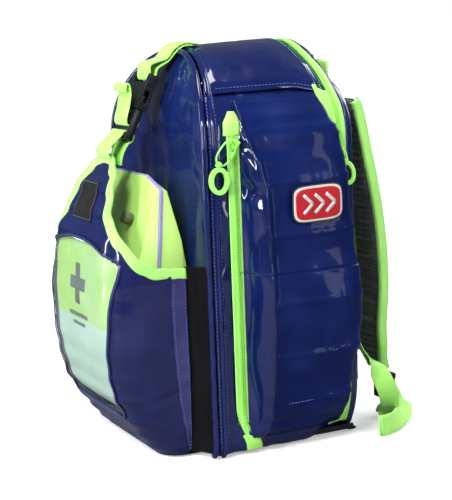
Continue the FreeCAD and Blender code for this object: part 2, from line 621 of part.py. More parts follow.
# =========================================== harness ===============================================
def harness():
    """Two padded shoulder straps with ladder locks and lower webbing, and the grab handle."""
    back = PAD_BACK_Y
    path = [(115.5, 412), (122, 398), (133, 345), (144, 290), (151, 235), (153, 175), (149, 125),
            (152, 92), (161, 66)]
    low_x, high_x = STRAP_X - STRAP_W / 2, STRAP_X + STRAP_W / 2
    pad = strip("yz", path, STRAP_T, low_x, high_x, cap=120.0)
    lock = box((STRAP_X - 18, 164, 22), (STRAP_X + 18, 171, 57))
    lock = lock.cut(box((STRAP_X - 13.5, 160, 27), (STRAP_X + 13.5, 175, 33)))
    lock = lock.cut(box((STRAP_X - 13.5, 160, 38), (STRAP_X + 13.5, 175, 45)))
    lock = lock.fuse(prism("yz", [(171, 44), (177, 52), (177, 57), (171, 57)],
                           STRAP_X - 16, STRAP_X + 16)).removeSplitter()
    keeper = box((STRAP_X - 15, 158.6, 132), (STRAP_X + 15, 161.6, 160))
    route = [(back - PAD_T + 4.6, 112), (118, 104), (140, 78), (156, 44), (160, 20), (163.2, 7.0),
             (170.5, 6.0), (175.0, 18.0), (175.0, 36.0)]
    web_low = STRAP_X - LOWER_WEBBING_W / 2
    webbing = strip("yz", route, WEBBING_T, web_low, web_low + LOWER_WEBBING_W, cap=40.0)
    for name, flip in (("right", False), ("left", True)):
        pieces = {"strap_pad_": pad, "ladder_lock_": lock, "lower_strap_webbing_": webbing,
                  "strap_keeper_": keeper}
        for prefix, shape in pieces.items():
            save(prefix + name, mirrored(shape) if flip else shape)
    skin_y = RIM_Y + LINER_T + BOARD_T + OUTER_T
    handle_path = [(-66, skin_y + 1.7), (-50, skin_y + 2.4), (-34, skin_y + 20), (0, skin_y + 25),
                   (34, skin_y + 20), (50, skin_y + 2.4), (66, skin_y + 1.7)]
    loop = strip("xy", handle_path, 2.4, 434, 459, cap=14.0)
    reach = 30.0
    rise = reach * HANDLE_TAPER
    pivot_y, pivot_z = skin_y + 0.5, 446.5
    tip = 0.3
    taper = prism("yz", [(pivot_y, pivot_z - tip), (pivot_y + reach, pivot_z - tip - rise),
                         (pivot_y + reach, pivot_z + tip + rise), (pivot_y, pivot_z + tip)], -80, 80)
    save("grab_handle", loop.common(taper))


main_body()
organiser()
back_panel()
front_pocket()
pocket_flap()
defibrillator()
front_strap()
side_pockets()
zip_garages()
sliders()
harness()
print(len(os.listdir("parts")), "nodes")
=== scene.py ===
"""Looks of the trauma backpack: fabric skins, webbing, zips, harness, defibrillator and their materials.

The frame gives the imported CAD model. Sizes here are written in millimetres in the same frame, and every
mesh is scaled to metres when it is made. The front pocket faces -Y and the harness is on +Y.
"""
import math

import bpy
from mathutils import Matrix, Vector, noise


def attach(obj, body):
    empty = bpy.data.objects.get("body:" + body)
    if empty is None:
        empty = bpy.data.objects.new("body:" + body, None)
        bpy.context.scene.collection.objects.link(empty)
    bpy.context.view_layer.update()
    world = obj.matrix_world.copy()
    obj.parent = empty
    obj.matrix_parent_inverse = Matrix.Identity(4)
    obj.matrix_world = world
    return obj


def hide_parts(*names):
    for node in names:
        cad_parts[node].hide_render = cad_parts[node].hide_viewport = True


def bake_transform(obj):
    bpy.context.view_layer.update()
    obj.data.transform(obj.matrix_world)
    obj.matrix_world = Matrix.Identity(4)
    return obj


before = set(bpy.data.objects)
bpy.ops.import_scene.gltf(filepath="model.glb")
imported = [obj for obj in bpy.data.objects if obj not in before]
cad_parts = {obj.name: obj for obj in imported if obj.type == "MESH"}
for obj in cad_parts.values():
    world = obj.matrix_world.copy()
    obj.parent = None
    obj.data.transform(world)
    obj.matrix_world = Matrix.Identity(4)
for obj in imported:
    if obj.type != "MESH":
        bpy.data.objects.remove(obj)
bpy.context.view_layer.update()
MM = 0.001

# ---- the bag's main dimensions, the same as the CAD model's ---------------------------------------
HALF_WIDTH = 140.0
SPRING_Z = 368.0
CREST_Z = 490.0
SHOULDER_R = 95.0
FOOT_R = 14.0
FRONT_Y = -95.0
SKIN_BACK_Y = 104.0       # outer face of the back panel
STRAP_X = 90.0
STRAP_W = 62.0
SEAM_Z = 435.0            # where the top panel is sewn to the sides
CHANNELS = (388.0, 329.0, 267.0, 187.0, 123.0, 64.0)    # sewn lines across the side pockets
SIDES = ((1, "right"), (-1, "left"))
X_AXIS = Vector((1, 0, 0))
Y_AXIS = Vector((0, 1, 0))
Z_AXIS = Vector((0, 0, 1))


# ========================================= mesh helpers ============================================
def blend_values(low, high, share):
    """Straight mix of two numbers or vectors."""
    return low + (high - low) * share


def ease(value):
    """Smooth step from 0 to 1."""
    value = min(max(value, 0.0), 1.0)
    return value * value * (3 - 2 * value)


def steps(low, high, count):
    """Values from low to high in a number of even steps."""
    return [blend_values(low, high, k / count) for k in range(count + 1)]


def spaced(low, high, step):
    """Values from low to high, about one step apart."""
    return steps(low, high, max(int(round((high - low) / step)), 1))


def grid_of(outer, inner, place):
    """Rows of points: place(a, b) for every a in outer and b in inner."""
    return [[place(a, b) for b in inner] for a in outer]


def length_of(points):
    """Length of a polyline."""
    return sum((b - a).length for a, b in zip(points, points[1:]))


def table(value, knots):
    """Smooth curve through (position, value) knots."""
    if value <= knots[0][0]:
        return knots[0][1]
    for (a, low), (b, high) in zip(knots, knots[1:]):
        if value <= b:
            return blend_values(low, high, ease((value - a) / (b - a)))
    return knots[-1][1]


def crinkle(x, y, z, size, seed=0.0):
    """Soft noise from about -1 to 1 with features of the given size."""
    return noise.noise(Vector((x / size + seed, y / size - seed, z / size + 2 * seed)))


def crease(x, y, z, size, seed=0.0):
    """Sharp folds: near 1 on thin lines and below 0 elsewhere."""
    return 1 - 3.2 * abs(crinkle(x, y, z, size, seed))


def curve(points, count):
    """Points at even steps along a smooth line through the given ones."""
    points = [Vector(p) for p in points]
    ends = [points[0] * 2 - points[1]] + points + [points[-1] * 2 - points[-2]]
    fine = []
    for i in range(1, len(ends) - 2):
        a, b, c, d = ends[i - 1:i + 3]
        for k in range(16):
            t = k / 16
            fine.append(0.5 * (2 * b + (c - a) * t + (2 * a - 5 * b + 4 * c - d) * t ** 2
                               + (3 * b - 3 * c + d - a) * t ** 3))
    fine.append(points[-1])
    return even(fine, count)


def even(points, count):
    """Points at even steps along a polyline."""
    run = [0.0]
    for a, b in zip(points, points[1:]):
        run.append(run[-1] + (b - a).length)
    out = []
    i = 0
    for k in range(count):
        want = run[-1] * k / (count - 1)
        while i < len(points) - 2 and run[i + 1] < want:
            i += 1
        span = max(run[i + 1] - run[i], 1e-9)
        out.append(points[i].lerp(points[i + 1], min((want - run[i]) / span, 1.0)))
    return out


def tangents(points, closed=False):
    """Direction of a polyline at each of its points."""
    last = len(points) - 1
    out = []
    for i in range(len(points)):
        if closed:
            a, b = points[i - 1], points[(i + 1) % len(points)]
        else:
            a, b = points[max(i - 1, 0)], points[min(i + 1, last)]
        out.append((b - a).normalized())
    return out


class Build:
    """Vertices, faces and UVs of one piece, gathered before its mesh is made."""

    def __init__(self):
        self.verts = []
        self.faces = []
        self.uvs = {}

    def grid(self, rows, closed=False, flip=False):
        """A surface through rows of points. Its UVs are distances in metres."""
        first = len(self.verts)
        wide = len(rows[0])
        down = 0.0
        for r, row in enumerate(rows):
            if r:
                down += (rows[r][wide // 2] - rows[r - 1][wide // 2]).length
            across = 0.0
            for c, point in enumerate(row):
                if c:
                    across += (row[c] - row[c - 1]).length
                self.uvs[len(self.verts)] = (down * MM, across * MM)
                self.verts.append(point)
        for r in range(len(rows) - 1):
            for c in range(wide if closed else wide - 1):
                a = first + r * wide + c
                b = first + r * wide + (c + 1) % wide
                face = (a, b, b + wide, a + wide)
                self.faces.append(face[::-1] if flip else face)
        return first

    def shell(self, rows, thick, flip=False):
        """A surface with thickness, grown to its inner side."""
        high, wide = len(rows), len(rows[0])
        inner = []
        for r in range(high):
            line = []
            for c in range(wide):
                along = rows[min(r + 1, high - 1)][c] - rows[max(r - 1, 0)][c]
                across = rows[r][min(c + 1, wide - 1)] - rows[r][max(c - 1, 0)]
                normal = across.cross(along)
                if normal.length > 1e-9:
                    normal.normalize()
                line.append(rows[r][c] - normal * (-thick if flip else thick))
            inner.append(line)
        a = self.grid(rows, flip=flip)
        b = self.grid(inner, flip=not flip)
        rim = list(range(wide))
        rim += [r * wide + wide - 1 for r in range(1, high)]
        rim += [(high - 1) * wide + c for c in range(wide - 2, -1, -1)]
        rim += [r * wide for r in range(high - 2, 0, -1)]
        for i, here in enumerate(rim):
            there = rim[(i + 1) % len(rim)]
            face = (a + here, b + here, b + there, a + there)
            self.faces.append(face[::-1] if flip else face)

    def sweep(self, points, ups, profile, closed=False):
        """A solid bar: profile points (across, up) carried along a line."""
        rows = []
        for i, (point, along) in enumerate(zip(points, tangents(points, closed))):
            up = ups[i] if isinstance(ups, list) else ups
            side = along.cross(up).normalized()
            lift = side.cross(along).normalized()
            rows.append([point + side * a + lift * b for a, b in profile])
        if closed:
            rows.append(rows[0])
        first = self.grid(rows, closed=True)
        if not closed:
            wide = len(profile)
            self.faces.append(tuple(first + c for c in range(wide))[::-1])
            self.faces.append(tuple(first + (len(rows) - 1) * wide + c for c in range(wide)))

    def block(self, middle, along, up, sizes, taper=0.8):
        """A small bevelled block, such as a tooth or a stitch."""
        along = along.normalized()
        side = along.cross(up).normalized()
        up = side.cross(along)
        first = len(self.verts)
        length, wide, tall = (s / 2 for s in sizes)
        for k, shrink in ((-1, taper), (-0.6, 1), (0.6, 1), (1, taper)):
            for a, b in ((-1, -1), (1, -1), (1, 1), (-1, 1)):
                self.uvs[len(self.verts)] = (0.0, 0.0)
                self.verts.append(middle + along * (k * length) + side * (a * wide * shrink)
                                  + up * (b * tall * shrink))
        for k in range(3):
            for c in range(4):
                a = first + 4 * k + c
                b = first + 4 * k + (c + 1) % 4
                self.faces.append((a, b, b + 4, a + 4))
        self.faces.append((first + 3, first + 2, first + 1, first))
        self.faces.append((first + 12, first + 13, first + 14, first + 15))

    def make(self, name, material, body=None, nodes=(), slot=None, levels=0, sharp=None):
        """The finished object, riding on its body in place of its CAD nodes."""
        mesh = bpy.data.meshes.new(name)
        mesh.from_pydata([v * MM for v in self.verts], [], self.faces)
        layer = mesh.uv_layers.new(name="UVMap")
        for loop in mesh.loops:
            layer.data[loop.index].uv = self.uvs.get(loop.vertex_index, (0.0, 0.0))
        for polygon in mesh.polygons:
            polygon.use_smooth = True
        mesh.materials.append(material)
        mesh.validate()
        obj = bpy.data.objects.new(name, mesh)
        bpy.context.scene.collection.objects.link(obj)
        if levels:
            bake_modifiers(obj, [("SUBSURF", {"levels": levels, "render_levels": levels})])
        if sharp:
            obj.data.set_sharp_from_angle(angle=math.radians(sharp))
        dress(obj, body, nodes, slot)
        return obj


def sheet(name, rows, thick, material, body, nodes, slot, flip=False, levels=0):
    """A skin with thickness through rows of points."""
    build = Build()
    build.shell(rows, thick, flip)
    return build.make(name, material, body, nodes, slot, levels)


def bar(name, points, ups, profile, material, body, nodes, slot, closed=False):
    """A bar of one cross-section along a line."""
    build = Build()
    build.sweep(points, ups, profile, closed)
    return build.make(name, material, body, nodes, slot)


def stitching(name, rows, material, slot, body="case"):
    """A piece of thread; each row holds what stitch_row needs."""
    build = Build()
    for row in rows:
        stitch_row(build, *row)
    return build.make(name, material, body, (), slot)


def dress(obj, body, nodes, slot):
    """Tells the frame which body and CAD nodes a piece belongs to; its material slot is not used."""
    if body:
        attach(obj, body)
    if nodes:
        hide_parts(*([nodes] if isinstance(nodes, str) else nodes))


def bake_modifiers(obj, modifiers):
    """Applies modifiers, given as (type, settings), to a piece's mesh."""
    for kind, settings in modifiers:
        modifier = obj.modifiers.new(kind, kind)
        for key, value in settings.items():
            setattr(modifier, key, value)
    bpy.context.view_layer.update()
    evaluated = obj.evaluated_get(bpy.context.evaluated_depsgraph_get())
    mesh = bpy.data.meshes.new_from_object(evaluated)
    obj.modifiers.clear()
    old = obj.data
    obj.data = mesh
    bpy.data.meshes.remove(old)


def from_node(node, name, material, body, slot, bevel, segments=3):
    """A copy of a hard CAD part with its edges rounded off."""
    obj = bpy.data.objects.new(name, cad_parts[node].data.copy())
    bpy.context.scene.collection.objects.link(obj)
    obj.data.materials.clear()
    obj.data.materials.append(material)
    bake_modifiers(obj, [
        ("WELD", {"merge_threshold": 0.00002}),
        ("BEVEL", {"width": bevel * MM, "segments": segments, "limit_method": "ANGLE",
                   "angle_limit": math.radians(35), "harden_normals": False})])
    for polygon in obj.data.polygons:
        polygon.use_smooth = True
    obj.data.set_sharp_from_angle(angle=math.radians(40))
    dress(obj, body, node, slot)
    return obj


def flat_profile(width, thick):
    """Cross-section of webbing, with thin rounded selvedges and points enough across to carry a weave."""
    half, lift = width / 2, thick / 2
    edge = min(0.8, half * 0.3)
    top = [(-half + edge + (2 * half - 2 * edge) * k / 6, lift) for k in range(7)]
    right = [(half - edge * 0.25, lift * 0.62), (half, 0), (half - edge * 0.25, -lift * 0.62)]
    bottom = [(-a, -b) for a, b in top]
    left = [(-a, -b) for a, b in right]
    return (top + right + bottom + left)[::-1]


def round_profile(radius, count=12, squeeze=1.0):
    """Cross-section of a cord or piping."""
    turns = [2 * math.pi * k / count for k in range(count)]
    return [(radius * math.cos(t), radius * squeeze * math.sin(t)) for t in turns]


def yz_line(points, x, count):
    """A smooth line in the plane of one x, and its outward normals for a strip that is flat along X."""
    line = curve([(x, y, z) for y, z in points], count)
    ups = [t.cross(X_AXIS).normalized() for t in tangents(line)]
    return line, ups


def stitch_row(build, points, normal, length=3.0, gap=1.6, thread=0.55, lift=0.15):
    """Dashes of thread along a line on a surface; normal is a vector or a list of them."""
    count = max(int(length_of(points) / (length + gap)), 1)
    places = even(points, 2 * count + 1)
    for k in range(count):
        a, b = places[2 * k], places[2 * k + 1]
        up = normal
        if isinstance(normal, list):
            up = normal[min(int((2 * k + 0.5) / (2 * count) * len(normal)), len(normal) - 1)]
        middle = (a + b) / 2 + up * lift
        build.block(middle, b - a, up, (length, thread, thread * 0.8), 0.6)


# ================================ camera, lights, floor and cords ==================================
def set_stage():
    """Camera at the viewing angle, a pale floor and soft studio lights."""
    azimuth, elevation, roll = (math.radians(a) for a in (63.9, 9.9, -2.2))
    aim_across, aim_height, distance = -6.9, 223.3, 1.7856
    flat = math.cos(elevation)
    back = Vector((math.sin(azimuth) * flat, -math.cos(azimuth) * flat, math.sin(elevation)))
    aim = Vector((aim_across * math.cos(azimuth), aim_across * math.sin(azimuth), aim_height)) * MM
    data = bpy.data.cameras.new("camera")
    data.sensor_fit = "VERTICAL"
    data.sensor_height = 36.0
    data.lens = 100.6
    camera = bpy.data.objects.new("camera", data)
    turn = (-back).to_track_quat("-Z", "Y").to_matrix().to_4x4() @ Matrix.Rotation(roll, 4, "Z")
    camera.matrix_world = Matrix.Translation(aim + back * distance) @ turn
    bpy.context.scene.collection.objects.link(camera)
    bpy.context.scene.camera = camera

    world = bpy.data.worlds.new("studio")
    bpy.context.scene.world = world
    world.use_nodes = True
    tree = world.node_tree
    soft = tree.nodes["Background"]
    soft.inputs["Color"].default_value = (0.90, 0.93, 1.0, 1)
    soft.inputs["Strength"].default_value = 0.16
    plain = tree.nodes.new("ShaderNodeBackground")
    plain.inputs["Color"].default_value = (1, 1, 1, 1)
    plain.inputs["Strength"].default_value = 1.0
    mix = tree.nodes.new("ShaderNodeMixShader")
    tree.links.new(tree.nodes.new("ShaderNodeLightPath").outputs["Is Camera Ray"], mix.inputs["Fac"])
    tree.links.new(soft.outputs["Background"], mix.inputs[1])
    tree.links.new(plain.outputs["Background"], mix.inputs[2])
    tree.links.new(mix.outputs["Shader"], tree.nodes["World Output"].inputs["Surface"])

    # place in metres, width, height and watts
    lamps = {
        "key": ((1.15, -1.25, 1.55), 0.50, 0.20, 32.0),
        "left": ((-0.9, -1.6, 0.7), 0.14, 1.4, 24.0),
        "strip": ((1.75, 0.15, 0.9), 0.08, 1.2, 12.0),
        "top": ((0.1, 0.05, 1.9), 0.9, 0.5, 20.0),
        "front": ((0.55, -1.75, 0.75), 0.20, 1.0, 26.0),
        "right": ((1.7, 1.1, 0.6), 0.2, 1.5, 8.0),
        "rear": ((-0.5, 1.7, 1.1), 1.0, 1.0, 18.0),
    }
    for name, (place, wide, tall, power) in lamps.items():
        light = bpy.data.lights.new(name, "AREA")
        light.shape = "RECTANGLE"
        light.size = wide
        light.size_y = tall
        light.energy = power
        lamp = bpy.data.objects.new(name, light)
        lamp.location = place
        toward = Vector((0, 0, 0.25)) - Vector(place)
        lamp.rotation_mode = "QUATERNION"
        lamp.rotation_quaternion = toward.to_track_quat("-Z", "Y")
        bpy.context.scene.collection.objects.link(lamp)

    floor = Build()
    ends = (-30000, 30000)
    floor.grid(grid_of(ends, ends, lambda y, x: Vector((x, y, -1.5))), flip=True)
    floor.make("floor", plain_floor())
    bpy.context.scene.view_settings.view_transform = "Standard"


class Shader:
    """A Principled material with short ways to add noise, colour and bump to it."""

    def __init__(self, name, color, roughness, **sockets):
        self.material = bpy.data.materials.new(name)
        self.material.use_nodes = True
        self.tree = self.material.node_tree
        self.main = self.tree.nodes["Principled BSDF"]
        self.color = (*color, 1)
        self.main.inputs["Base Color"].default_value = self.color
        self.main.inputs["Roughness"].default_value = roughness
        for key, value in sockets.items():
            self.main.inputs[key.replace("_", " ")].default_value = value
        self.object = self.node("TexCoord").outputs["Object"]
        self.uv = self.node("UVMap", uv_map="UVMap").outputs["UV"]

    def node(self, kind, inputs=None, **settings):
        made = self.tree.nodes.new("ShaderNode" + kind)
        for key, value in settings.items():
            setattr(made, key, value)
        for key, value in (inputs or {}).items():
            if isinstance(value, bpy.types.NodeSocket):
                self.tree.links.new(value, made.inputs[key])
            else:
                made.inputs[key].default_value = value
        return made

    def stretch(self, place, scale):
        return self.node("Mapping", {"Vector": place, "Scale": scale}).outputs["Vector"]

    def noise(self, scale, detail=3.0, place=None, distortion=0.0):
        return self.node("TexNoise", {"Vector": place or self.object, "Scale": scale, "Detail": detail,
                                      "Distortion": distortion}).outputs["Fac"]

    def wave(self, scale, direction, place=None):
        return self.node("TexWave", {"Vector": place or self.object, "Scale": scale, "Distortion": 0.0},
                         bands_direction=direction, wave_profile="SIN").outputs["Fac"]

    def math(self, operation, *values):
        return self.node("Math", dict(enumerate(values)), operation=operation).outputs["Value"]

    def spread(self, value, low, high, to_low=0.0, to_high=1.0):
        return self.node("MapRange", {"Value": value, "From Min": low, "From Max": high,
                                      "To Min": to_low, "To Max": to_high}).outputs["Result"]

    def tint(self, factor, color):
        """Mixes another colour in where factor is high."""
        target = self.main.inputs["Base Color"]
        source = target.links[0].from_socket if target.is_linked else self.color
        mix = self.node("Mix", {0: factor, 6: source, 7: (*color, 1)}, data_type="RGBA")
        self.tree.links.new(mix.outputs[2], target)

    def rough(self, factor, low, high):
        self.tree.links.new(self.spread(factor, 0.3, 0.7, low, high), self.main.inputs["Roughness"])

    def bump(self, height, distance, strength=1.0):
        inputs = {"Height": height, "Distance": distance * MM, "Strength": strength}
        source = self.main.inputs["Normal"]
        if source.is_linked:
            inputs["Normal"] = source.links[0].from_socket
        made = self.node("Bump", inputs)
        self.tree.links.new(made.outputs["Normal"], source)


def plain_floor():
    """White floor that glows for the camera only, and is darker in reflections."""
    shader = Shader("floor_white", (0.86, 0.86, 0.86), 0.7)
    shader.tint(shader.noise(3.0), (0.90, 0.90, 0.90))
    seen = shader.node("LightPath").outputs["Is Camera Ray"]
    shader.tint(shader.math("SUBTRACT", 1.0, seen), (0.24, 0.24, 0.26))
    away = shader.node("VectorMath", {0: shader.object}, operation="LENGTH").outputs["Value"]
    glow = shader.spread(away, 0.5, 4.0, 0.35, 1.0)
    shader.main.inputs["Emission Color"].default_value = (1, 1, 1, 1)
    shader.tree.links.new(shader.math("MULTIPLY", glow, seen), shader.main.inputs["Emission Strength"])
    return shader.material


def tarpaulin(name, color, light, gloss=0.24, crumple=1.0, coat=0.8):
    """Glossy coated fabric: cloudy colour, a fine scrim showing through and a crumpled surface."""
    shader = Shader(name, color, gloss, Coat_Weight=coat, Coat_Roughness=0.05, Specular_IOR_Level=0.04)
    shader.tint(shader.spread(shader.noise(16.0, 4.0), 0.42, 0.72), light)
    scrim = shader.math("MULTIPLY", shader.wave(190.0, "Z"), shader.wave(190.0, "Y"))
    shader.tint(shader.math("MULTIPLY", scrim, 0.18), tuple(c * 0.6 for c in color))
    shader.rough(shader.noise(45.0, 3.0), gloss - 0.05, gloss + 0.12)
    tall = shader.stretch(shader.object, (1.0, 1.0, 0.30))
    shader.bump(shader.noise(30.0, 2.0, tall, 0.5), 1.1 * crumple, 0.5)
    shader.bump(shader.noise(95.0, 2.0, tall), 0.22 * crumple, 0.5)
    shader.bump(scrim, 0.02, 0.5)
    return shader.material


def woven(name, color, dark, ribs):
    """Nylon webbing or tape laid out by its UVs: small slanted cells, each about 0.6 of ribs in length."""
    gloss = 0.42
    shader = Shader(name, color, gloss, Sheen_Weight=0.25, Sheen_Roughness=0.4)
    pitch = 3.14 / (2 * math.pi) / ribs
    rows = shader.wave(pitch, "X", shader.uv)
    cells = shader.wave(pitch / 1.5, "Y", shader.uv)
    slant = shader.wave(pitch / 2.2, "DIAGONAL", shader.uv)
    weave = shader.math("MULTIPLY", shader.math("ADD", rows, cells), 0.5)
    shader.tint(shader.spread(weave, 0.2, 0.75, 0.75, 0.0), dark)
    shader.tint(shader.spread(shader.noise(40.0, 2.0), 0.45, 0.75, 0.0, 0.35), dark)
    shader.rough(shader.noise(200.0), gloss - 0.06, gloss + 0.1)
    shader.bump(weave, 0.25, 0.7)
    shader.bump(slant, 0.12, 0.5)
    shader.bump(shader.noise(60.0, 2.0), 0.5, 0.35)
    return shader.material


def moulded(name, color, roughness, grain=500.0, mottled=None, **sockets):
    """Moulded plastic or rubber with a fine spark-eroded grain and faint scuffs."""
    shader = Shader(name, color, roughness, **sockets)
    shader.tint(shader.spread(shader.noise(30.0, 4.0), 0.45, 0.8, 0.0, 0.6),
                mottled or tuple(min(1.0, c * 1.25 + 0.004) for c in color))
    shader.rough(shader.noise(25.0, 4.0), roughness - 0.05, roughness + 0.1)
    shader.bump(shader.noise(grain, 2.0), 0.12, 0.5)
    shader.bump(shader.noise(25.0, 2.0), 0.4, 0.25)
    return shader.material


def spacer_mesh(name, color, light, cell, ribs=0.0):
    """Knitted air mesh: open cells, with ribs across it where asked."""
    shader = Shader(name, color, 0.85, Sheen_Weight=0.4)
    cells = shader.node("TexVoronoi", {"Vector": shader.object, "Scale": cell}).outputs["Distance"]
    shader.tint(shader.spread(cells, 0.25, 0.65), light)
    if ribs:
        bars = shader.wave(ribs, "Z")
        shader.tint(shader.spread(bars, 0.55, 1.0, 0.0, 0.6), light)
        shader.bump(bars, 1.6, 0.9)
    shader.tint(shader.spread(shader.noise(20.0), 0.5, 0.8, 0.0, 0.4), tuple(c * 0.5 for c in color))
    shader.bump(cells, 0.6, 0.9)
    return shader.material


def cloth(name, color, light, pitch, roughness):
    """Plain matt lining or stretch cloth."""
    shader = Shader(name, color, roughness, Sheen_Weight=0.04, Specular_IOR_Level=0.06)
    weave = shader.math("MULTIPLY", shader.wave(pitch, "Z"), shader.wave(pitch, "X"))
    shader.tint(shader.spread(weave, 0.3, 0.9, 0.0, 0.7), light)
    shader.tint(shader.spread(shader.noise(14.0, 3.0), 0.5, 0.8, 0.0, 0.5), light)
    shader.bump(weave, 0.15, 0.8)
    shader.bump(shader.noise(35.0, 3.0), 1.4, 0.4)
    return shader.material


def clear_vinyl():
    """Clear film with crinkles that catch the light, and pale patches painted in as reflections of the studio.
    """
    shader = Shader("clear_vinyl_film", (0.42, 0.50, 0.48), 0.10, Alpha=0.11, Specular_IOR_Level=0.6,
                    Coat_Weight=0.8, Coat_Roughness=0.05)
    # painted reflection: blue-white patches of the studio's colour mixed into the film by noise
    shader.tint(shader.spread(shader.noise(22.0), 0.5, 0.8), (0.9, 0.93, 1.0))
    shader.bump(shader.noise(30.0, 3.0, None, 0.8), 3.0, 0.7)
    shader.bump(shader.noise(110.0, 2.0), 0.4, 0.4)
    shader.rough(shader.noise(60.0), 0.06, 0.2)
    return shader.material


NAVY = tarpaulin("navy_tarpaulin_gloss", (0.0030, 0.0080, 0.062), (0.0060, 0.0140, 0.092))
QUILTED = tarpaulin("navy_quilted_gloss", (0.0030, 0.0090, 0.066), (0.0060, 0.0150, 0.098), 0.30, 0.7, 0.10)
# Greyer, lavender navy for the front pocket's face, floor and window hem: a painted sheen that stands in for
# the white floor's reflection on the lower parts.
PAINTED_SHEEN_NAVY = tarpaulin("navy_tarpaulin_painted_sheen", (0.0065, 0.0100, 0.058), (0.0170, 0.0190, 0.085), 0.32, 0.9, 0.5)
BAND = tarpaulin("navy_binding_satin", (0.026, 0.027, 0.105), (0.055, 0.055, 0.165), 0.38, 1.5, 0.3)
LIME_WEB = woven("lime_webbing_weave", (0.42, 0.92, 0.17), (0.28, 0.70, 0.085), 0.0016)
LIME_TAPE = woven("lime_tape_weave", (0.42, 0.90, 0.20), (0.28, 0.68, 0.10), 0.0009)
LIME_RUBBER = moulded("lime_rubber_soft", (0.33, 0.84, 0.14), 0.45, 700.0, None, Subsurface_Weight=0.1)
LIME_METAL = moulded("lime_coated_metal", (0.27, 0.78, 0.08), 0.32, 300.0, None, Coat_Weight=0.4)
LIME_CORD = woven("lime_cord_braid", (0.33, 0.86, 0.10), (0.20, 0.64, 0.05), 0.0009)
BLACK = moulded("black_moulding", (0.006, 0.006, 0.008), 0.30, 600.0, (0.012, 0.012, 0.015),
                Specular_IOR_Level=0.3)
BASE_CLOTH = cloth("black_base_cloth", (0.012, 0.012, 0.015), (0.024, 0.024, 0.03), 260.0, 0.55)
STRETCH = cloth("black_stretch_mesh", (0.0035, 0.0035, 0.0042), (0.008, 0.008, 0.010), 340.0, 0.9)
LINER = cloth("liner_cloth_weave", (0.055, 0.062, 0.11), (0.085, 0.092, 0.15), 300.0, 0.7)
AIR_MESH = spacer_mesh("air_mesh_pads", (0.012, 0.012, 0.015), (0.05, 0.05, 0.058), 240.0)
STRAP_MESH = spacer_mesh("air_mesh_straps", (0.018, 0.024, 0.024), (0.10, 0.12, 0.115), 330.0, 42.0)
AED_LIME = moulded("aed_lime_case", (0.50, 0.84, 0.19), 0.33, 450.0, (0.54, 0.88, 0.22),
                   Coat_Weight=0.2, Coat_Roughness=0.2)
GASKET = moulded("lilac_gasket_rubber", (0.27, 0.20, 0.56), 0.5)
KNOB = moulded("dark_knob_rubber", (0.075, 0.085, 0.035), 0.45)
BOARD = moulded("grey_board_sheet", (0.28, 0.29, 0.31), 0.6, 200.0)
LABEL = cloth("black_label_weave", (0.004, 0.004, 0.005), (0.010, 0.010, 0.012), 420.0, 0.6)
BADGE_RED = moulded("badge_red_rubber", (0.40, 0.006, 0.012), 0.38, Specular_IOR_Level=0.2)
BADGE_PALE = moulded("badge_pale_rim", (0.50, 0.49, 0.46), 0.4)
BADGE_DARK = moulded("badge_dark_edge", (0.02, 0.012, 0.012), 0.4)
THREAD = moulded("navy_thread", (0.10, 0.13, 0.40), 0.5)
LIME_THREAD = moulded("lime_thread", (0.25, 0.74, 0.06), 0.5)
VINYL = clear_vinyl()

set_stage()


# ================================= the side zips' cords and knots ==================================
SLIDER_EYE = (-61.4, 372.7)         # (y, z) of the side zip slider's eye
PULL_LEAN = math.radians(40)        # the cord loop leans this far towards the front
PULL_X = 147.2
CORD_R = 1.1


def leaned(y, z):
    """A point of the hanging cord loop after it has leaned about the slider's eye."""
    along, up = y - SLIDER_EYE[0], z - SLIDER_EYE[1]
    return Vector((PULL_X, SLIDER_EYE[0] + along * math.cos(PULL_LEAN) + up * math.sin(PULL_LEAN),
                   SLIDER_EYE[1] - along * math.sin(PULL_LEAN) + up * math.cos(PULL_LEAN)))


PULL_ROUTE = [leaned(y, z) for y, z in (
    (-58.4, 362.2), (-58.4, 370.9), (-66.194, 375.4), (-73.988, 370.9), (-75.488, 357.95),
    (-73.988, 345.0), (-66.194, 340.5), (-58.4, 345.0), (-57.9, 353.8))]
KNOT_TURNS = 3


def make_pull_cord(side, name):
    """The thin cord that ties the finger ring to the slider, and its knot."""
    data = bpy.data.curves.new("pull_cord_" + name, "CURVE")
    data.dimensions = "3D"
    data.resolution_u = 16
    data.bevel_depth = CORD_R * MM
    data.bevel_resolution = 4
    data.use_fill_caps = True
    spline = data.splines.new("NURBS")
    spline.points.add(len(PULL_ROUTE) - 1)
    for point, place in zip(spline.points, PULL_ROUTE):
        point.co = (side * place.x * MM, place.y * MM, place.z * MM, 1)
    spline.order_u = 3
    spline.use_endpoint_u = True
    data.materials.append(LIME_RUBBER)
    obj = bpy.data.objects.new("pull_cord_line_" + name, data)
    bpy.context.scene.collection.objects.link(obj)
    dress(obj, "side_slider_" + name, "pull_cord_" + name, "lime_cord")

    start, end = leaned(-58.4, 363.4), leaned(-57.9, 352.6)
    out = (end - start).normalized().cross(X_AXIS)
    points = []
    for share in steps(0, 1, 54):
        angle = 2 * math.pi * KNOT_TURNS * share
        reach = 1.9 + 0.5 * math.sin(math.pi * share)
        place = start.lerp(end, 0.12 + 0.76 * share)
        place += out * (reach * math.cos(angle)) + X_AXIS * (reach * math.sin(angle))
        points.append(Vector((side * place.x, place.y, place.z)))
    ups = [(p - Vector((side * start.x, start.y, start.z))).normalized() for p in points]
    tie = bar("pull_knot_" + name, points, ups, round_profile(1.15, 8), LIME_CORD, "side_slider_" + name, (),
              "lime_cord")


# ===================================== the body of the bag =========================================
def crown():
    """(sink, radius, angle) of the arch's crown circle, as in the CAD model."""
    rise = CREST_Z - SPRING_Z
    run = HALF_WIDTH - SHOULDER_R
    drop = rise - SHOULDER_R
    sink = (run ** 2 - drop ** 2) / (2 * drop)
    return sink, sink + rise, math.atan2(sink, run)


